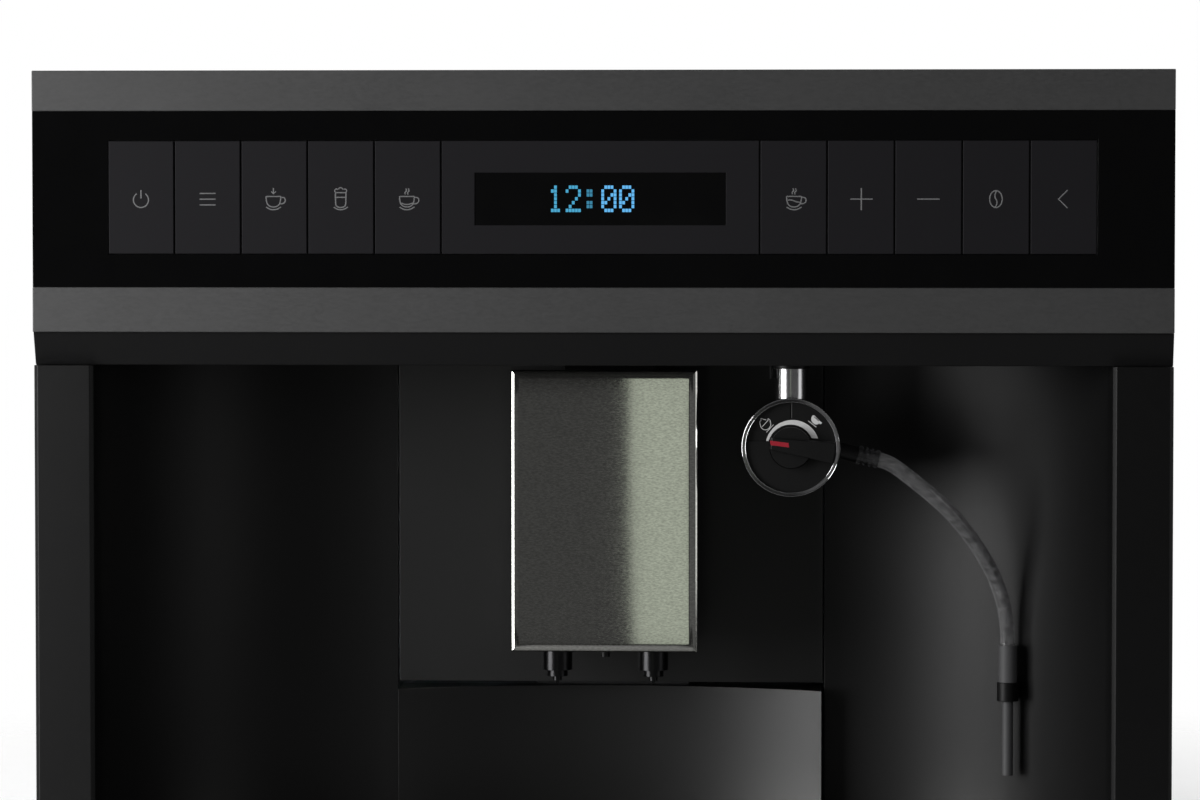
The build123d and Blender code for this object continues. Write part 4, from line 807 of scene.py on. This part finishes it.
def glassStrokes():
    side = [(-2.75, 2.5), (-2.75, -2.7), (-2.4, -4.7), (0.0, -5.4), (2.4, -4.7), (2.75, -2.7), (2.75, 2.5)]
    foam = [("soft", arcPoints(x, z, radius, first, last))
            for x, z, radius, first, last in ((-2.2, 3.45, 0.95, 260, 40), (0.0, 3.95, 1.15, 170, 10),
                                              (2.2, 3.45, 0.95, 140, -80))]
    return foam + [
        ("soft", side),
        ("hard", [(-2.75, 2.5), (2.75, 2.5)]),
        ("hard", [(-2.75, 0.05), (2.75, 0.05)]),
        ("soft", [(-3.7, -5.0), (-2.2, -6.1), (0.0, -6.45), (2.2, -6.1), (3.7, -5.0)]),
    ]


def beanStrokes():
    return [
        ("soft", arcPoints(0, -0.9, 3.3, 0, 360, 17, 1.35)),
        ("soft", [(0.4, 3.4), (-1.3, 0.9), (1.3, -2.7), (-0.4, -5.2)]),
    ]


keyIcons = {
    "key_01": [("soft", arcPoints(0, -1.3, 4.0, 125, 415, 17)), ("hard", [(0, -0.5), (0, 3.9)])],
    "key_02": [("hard", [(-4.2, z), (4.2, z)]) for z in (2.1, -0.9, -3.9)],
    "key_03": cupStrokes(-0.3) + [("hard", [(-0.3, 4.9), (-0.3, 1.9)]),
                                  ("hard", [(-1.5, 3.1), (-0.3, 1.9), (0.9, 3.1)])],
    "key_04": glassStrokes(),
    "key_05": cupStrokes(-0.3) + steamStrokes(-0.3)
    + [("soft", [(-3.3, -2.8), (-1.9, -3.7), (1.3, -3.7), (2.7, -2.8)])],
    "key_06": cupStrokes(0.4) + steamStrokes(0.4)
    + [("soft", [(-2.9, -1.4), (-0.7, -1.2), (1.4, -2.4), (3.9, -2.6)])],
    "key_07": [("hard", [(-5.5, -0.9), (6.1, -0.9)]), ("hard", [(0.3, -6.65), (0.3, 4.85)])],
    "key_08": [("hard", [(-5.8, -0.9), (5.8, -0.9)])],
    "key_09": beanStrokes(),
    "key_10": [("hard", [(1.9, 3.7), (-2.7, -0.9), (1.9, -5.5)])],
}
iconInk = {"width": 0.78, "proud": 0.02}


def addKeyIcons():
    for key, strokes in keyIcons.items():
        x, _, z = middleOf(key)
        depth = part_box(key)[0][1] - frontY - iconInk["proud"] * mm
        mesh = inkMesh(strokes, iconInk["width"], (x, z), depth)
        newPiece(key + "_icon", mesh, key, "key_grey", finishes["printGrey"])


addKeyIcons()

clock = {
    "left": -26.5, "top": 394.1,  # first dot's middle
    "pitch": (1.613, 2.013), "cell": 5.75, "dot": (1.4, 0.04, 1.72), "proud": 0.01,
    "glyphs": {
        "1": ("..#..", ".##..", "..#..", "..#..", "..#..", "..#..", ".###."),
        "2": (".###.", "#...#", "....#", "...#.", "..#..", ".#...", "#####"),
        ":": (".....", ".##..", ".##..", ".....", ".##..", ".##..", "....."),
        "0": (".###.", "#...#", "#..##", "#.#.#", "##..#", "#...#", ".###."),
    },
    "time": "12:00", "glow": {"1": "plain", "2": "plain", ":": "dim", "0": "bright"},
}


def addClock():
    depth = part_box("display_window")[0][1] - clock["proud"] * mm
    size = [part * mm for part in clock["dot"]]
    for place, glyph in enumerate(clock["time"]):
        bm = bmesh.new()
        for row, line in enumerate(clock["glyphs"][glyph]):
            for column, sign in enumerate(line):
                if sign != "#":
                    continue
                x = clock["left"] + (place * clock["cell"] + column) * clock["pitch"][0]
                z = clock["top"] - row * clock["pitch"][1]
                addBox(bm, size, (x * mm, depth, z * mm))
        newPiece("clock_sign_%d" % (place + 1), meshFrom(bm, "clockSign"), "machine", "display_black",
                 clockLights[clock["glow"][glyph]])


addClock()
print("key icons and clock drawn")


# frother marks
dialMarks = {
    "recess": 1.0,  # how far the upper sector's face lies behind the dial's
    "thickness": 0.06, "inkWidth": 0.42, "steps": 40,
    "inner": (-0.17, -0.19, 12.1, 24.7, 167.0),  # wedge arcs: x, z, radius, first and last degree
    "outer": (0.76, 0.13, 14.2, 18.2, 170.3),
}
dialX, _, dialZ = middleOf("frother_dial")
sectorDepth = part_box("frother_dial")[0][1] - frontY + dialMarks["recess"] * mm


def spunArc(bm, x, z, radius, first, last):
    turn = radians(first)
    start = bm.verts.new(((x + radius * cos(turn)) * mm, 0.0, (z + radius * sin(turn)) * mm))
    bmesh.ops.spin(bm, geom=[start], cent=(x * mm, 0, z * mm), axis=(0, -1, 0), angle=radians(last - first),
                   steps=dialMarks["steps"])


def addWedge():
    bm = bmesh.new()
    spunArc(bm, *dialMarks["inner"])
    spunArc(bm, *dialMarks["outer"])
    bmesh.ops.bridge_loops(bm, edges=bm.edges[:])
    bmesh.ops.solidify(bm, geom=bm.faces[:], thickness=dialMarks["thickness"] * mm)
    bmesh.ops.recalc_face_normals(bm, faces=bm.faces[:])
    place = Matrix.Translation((dialX, frontY + sectorDepth, dialZ))
    bmesh.ops.transform(bm, matrix=place, verts=bm.verts[:])
    newPiece("dial_wedge", meshFrom(bm, "dialWedge"), "machine", "frother_black", finishes["printWhite"])


# painted highlight: a thin grey strip laid where the groove's wall catches the light
grooveHighlight = {"x": 0.30, "low": 15.3, "high": 22.9, "width": 0.3, "thick": 0.1, "behind": 0.03, "edge": 0.03}


def addPaintedGrooveHighlight():  # a grey strip painted as the highlight of the groove's lit wall above the arc
    bm = bmesh.new()
    size = (grooveHighlight["width"] * mm, grooveHighlight["thick"] * mm, (grooveHighlight["high"] - grooveHighlight["low"]) * mm)
    addBox(bm, size, (dialX + grooveHighlight["x"] * mm, frontY + sectorDepth + grooveHighlight["behind"] * mm,
                      dialZ + (grooveHighlight["low"] + grooveHighlight["high"]) / 2 * mm))
    bevelSharp(bm, grooveHighlight["edge"])
    newPiece("dial_groove_painted_highlight", meshFrom(bm, "dialGroovePaintedHighlight"), "machine", "frother_black",
             finishes["paintedGrooveHighlight"])


dialIcons = {  # strokes and filled outlines, (x, z) in millimetres from the dial's middle
    "foam": {
        "strokes": [
            ("hard", [(-12.95, 7.8), (-9.2, 11.85)]),
            ("soft", [(-16.4, 12.8), (-16.0, 10.6), (-14.9, 9.4), (-13.4, 9.0), (-12.0, 9.5), (-10.9, 10.7),
                      (-10.5, 12.3), (-11.0, 13.7)]),
            ("hard", [(-16.3, 12.8), (-16.5, 13.5), (-15.7, 13.95), (-15.85, 15.2), (-14.2, 14.6),
                      (-13.1, 14.35)]),
            ("hard", [(-12.3, 14.6), (-11.95, 15.0), (-10.85, 14.0), (-11.0, 13.6)]),
            ("hard", [(-11.95, 14.3), (-15.1, 10.75)]),
        ],
    },
    "milk": {
        "strokes": [("hard", [(9.0, 13.9), (13.3, 10.6)])],
        "filled": [
            [(12.1, 16.85), (11.4, 16.8), (10.75, 15.9), (10.55, 14.5), (11.1, 13.2), (12.0, 12.3),
             (13.1, 11.9), (14.0, 12.1), (14.7, 12.6), (15.5, 12.05), (16.35, 12.85), (15.2, 13.75)],
            [(12.0, 15.9), (12.3, 16.2), (14.75, 13.95), (14.45, 13.65)],
        ],
    },
}


def filledInk(loops, thickness, depth):
    # flat shapes on the dial from closed outlines, a loop inside another is a hole
    curve = bpy.data.curves.new("ink", "CURVE")
    curve.dimensions = "2D"
    curve.fill_mode = "BOTH"
    curve.extrude = thickness / 2 * mm
    for loop in loops:
        spline = curve.splines.new("POLY")
        spline.points.add(len(loop) - 1)
        for point, (x, z) in zip(spline.points, loop):
            point.co = (x * mm, z * mm, 0.0, 1.0)
        spline.use_cyclic_u = True
    drawn = bpy.data.objects.new("ink", curve)
    mesh = bpy.data.meshes.new_from_object(drawn)
    bpy.data.objects.remove(drawn)
    place = Matrix.Translation((dialX, frontY + depth, dialZ))
    mesh.transform(place @ Matrix.Rotation(pi / 2, 4, "X"))
    return mesh


def addDialIcons():
    for name, icon in dialIcons.items():
        mesh = inkMesh(icon["strokes"], dialMarks["inkWidth"], (dialX, dialZ), sectorDepth)
        newPiece("dial_icon_" + name, mesh, "machine", "frother_black", finishes["printWhite"])
        if "filled" in icon:
            mesh = filledInk(icon["filled"], dialMarks["thickness"], sectorDepth)
            newPiece("dial_fill_" + name, mesh, "machine", "frother_black", finishes["printWhite"])


leverMark = {"ends": ((-10.75, 2.72), (-1.05, 1.51)), "width": 2.4, "thickness": 0.06}


def addLeverMark():
    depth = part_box("frother_lever")[0][1] - frontY
    (left, high), (right, low) = leverMark["ends"]
    long = sqrt((right - left) ** 2 + (high - low) ** 2)
    half = leverMark["width"] / 2
    across = ((low - high) / long * half, (left - right) / long * half)
    corners = [(x - side * across[0], z + side * across[1]) for x, z, side in (
        (left, high, 1), (right, low, 1), (right, low, -1), (left, high, -1))]
    mesh = filledInk([corners], leverMark["thickness"], depth)
    newPiece("lever_mark", mesh, "frother_lever", "frother_black", finishes["markRed"])


addWedge()
addPaintedGrooveHighlight()
addDialIcons()
addLeverMark()
print("frother marks made")


# floor, light and world
studio = {
    "floorRadius": 0.95, "floorFade": 0.5, "floorColor": (0.8, 0.8, 0.8), "floorBounce": (0.22, 0.22, 0.22),
    "floorGlow": 0.35, "floorMirrored": 0.27, "floorRoughness": 0.8,
    "key": {"place": (-1.15, -1.05, 0.47), "aim": (0.0, -0.25, 0.3), "size": (0.8, 1.05), "power": 23.0},
    "side": {"place": (1.22, -0.79, 0.5), "aim": (0.05, -0.22, 0.22), "size": (0.55, 0.9), "power": 1.7},
    "rear": {"place": (1.3, 1.3, 1.1), "aim": (0.0, 0.1, 0.2), "size": (1.2, 1.0), "power": 9.0},
    "rearLeft": {"place": (-1.5, 0.9, 0.9), "aim": (0.0, 0.1, 0.2), "size": (1.0, 0.9), "power": 8.0},
    "top": {"place": (0.0, 0.2, 2.2), "aim": (0.0, 0.1, 0.2), "size": (1.4, 1.0), "power": 6.0},
    "fill": {"place": (0.1, -2.9, 1.1), "aim": (0.0, -0.2, 0.25), "size": (1.8, 1.2), "power": 10.0},
    "card": {"place": (0.0105, -1.12, 0.1675), "aim": (0.0321, -0.225, 0.236), "size": (0.0715, 0.285),
             "power": 0.0357, "color": (0.92, 1.0, 0.84), "roll": -1.1},
    "dimCard": {"place": (-0.0915, -1.12, 0.1475), "aim": (-0.017, -0.225, 0.231), "size": (0.139, 0.255),
                "power": 0.0057, "roll": -1.1},
    "edgeCard": {"place": (-0.46, -1.13, 0.155), "aim": (-0.049, -0.225, 0.2385), "size": (0.59, 0.27),
                 "power": 0.032},
    "sideCard": {"place": (0.472, -1.11, 0.1675), "aim": (0.049, -0.225, 0.236), "size": (0.83, 0.285),
                 "power": 0.074},
    "ambient": 0.16, "frontReflection": 0.02, "turnToRear": (0.1, 0.5),  # reflections brighten to the rear
}


def addLight(name, glossy=True):
    setup = studio[name]
    data = bpy.data.lights.new(name + "Light", "AREA")
    data.shape = "RECTANGLE"
    data.size, data.size_y = setup["size"]
    data.energy = setup["power"]
    data.color = setup.get("color", (1.0, 1.0, 1.0))
    light = bpy.data.objects.new(name + "Light", data)
    light.location = setup["place"]
    look = Vector(setup["aim"]) - Vector(setup["place"])
    roll = Matrix.Rotation(radians(setup.get("roll", 0.0)), 3, "Y")
    light.rotation_euler = (roll @ look.to_track_quat("-Z", "Y").to_matrix()).to_euler()
    light.visible_camera = False
    light.visible_glossy = glossy
    bpy.context.scene.collection.objects.link(light)


def addFloor():
    bm = bmesh.new()
    bmesh.ops.create_circle(bm, cap_ends=True, segments=64, radius=studio["floorRadius"])
    floor = bpy.data.objects.new("floor", meshFrom(bm, "floor"))
    bpy.context.scene.collection.objects.link(floor)
    material = bpy.data.materials.new("floorPale")
    material.use_nodes = True
    tree = material.node_tree
    shader = tree.nodes["Principled BSDF"]
    path = addNode(tree, "ShaderNodeLightPath")
    seen = mathNode(tree, "MAXIMUM", path.outputs["Is Camera Ray"], path.outputs["Is Transmission Ray"])
    mirrored = mathNode(tree, "MULTIPLY", path.outputs["Is Glossy Ray"], studio["floorMirrored"])
    seen = mathNode(tree, "MAXIMUM", seen, mirrored)
    color = mixColor(tree, seen, studio["floorBounce"], studio["floorColor"])
    tree.links.new(color, shader.inputs["Base Color"])
    shader.inputs["Emission Color"].default_value = (1.0, 1.0, 1.0, 1.0)
    glow = mathNode(tree, "MULTIPLY", path.outputs["Is Camera Ray"], studio["floorGlow"])
    tree.links.new(glow, shader.inputs["Emission Strength"])
    shader.inputs["Roughness"].default_value = studio["floorRoughness"]
    place = addNode(tree, "ShaderNodeTexCoord").outputs["Object"]
    reach = addNode(tree, "ShaderNodeVectorMath", operation="LENGTH")
    tree.links.new(place, reach.inputs[0])
    fade = mapRange(tree, reach.outputs["Value"], studio["floorFade"], studio["floorRadius"], 1.0, 0.0)
    clear = addNode(tree, "ShaderNodeBsdfTransparent")
    mix = addNode(tree, "ShaderNodeMixShader")
    tree.links.new(fade, mix.inputs[0])
    tree.links.new(clear.outputs[0], mix.inputs[1])
    tree.links.new(shader.outputs[0], mix.inputs[2])
    tree.links.new(mix.outputs[0], tree.nodes["Material Output"].inputs["Surface"])
    floor.data.materials.append(material)


def addWorld():
    world = bpy.data.worlds.new("studio")
    bpy.context.scene.world = world
    world.use_nodes = True
    world.cycles.sampling_method = "NONE"
    tree = world.node_tree
    background = tree.nodes["Background"]
    path = addNode(tree, "ShaderNodeLightPath")
    direction = addNode(tree, "ShaderNodeTexCoord").outputs["Generated"]
    split = addNode(tree, "ShaderNodeSeparateXYZ")
    tree.links.new(direction, split.inputs[0])
    behind = mapRange(tree, split.outputs["Y"], *studio["turnToRear"], studio["frontReflection"], 1.0)
    level = addNode(tree, "ShaderNodeMix", data_type="FLOAT")
    tree.links.new(path.outputs["Is Glossy Ray"], level.inputs[0])
    level.inputs[2].default_value = studio["ambient"]
    tree.links.new(behind, level.inputs[3])
    shown = mathNode(tree, "MAXIMUM", path.outputs["Is Camera Ray"], path.outputs["Is Transmission Ray"])
    whole = addNode(tree, "ShaderNodeMix", data_type="FLOAT")
    tree.links.new(shown, whole.inputs[0])
    tree.links.new(level.outputs[0], whole.inputs[2])
    whole.inputs[3].default_value = 1.0
    tree.links.new(whole.outputs[0], background.inputs["Strength"])
    background.inputs["Color"].default_value = (1.0, 1.0, 1.0, 1.0)


addFloor()
for lamp in ("key", "side", "rear", "rearLeft", "top", "card", "dimCard", "edgeCard", "sideCard"):
    addLight(lamp)
addLight("fill", glossy=False)
addWorld()
bpy.context.scene.view_settings.view_transform = "Standard"
print("studio lit")
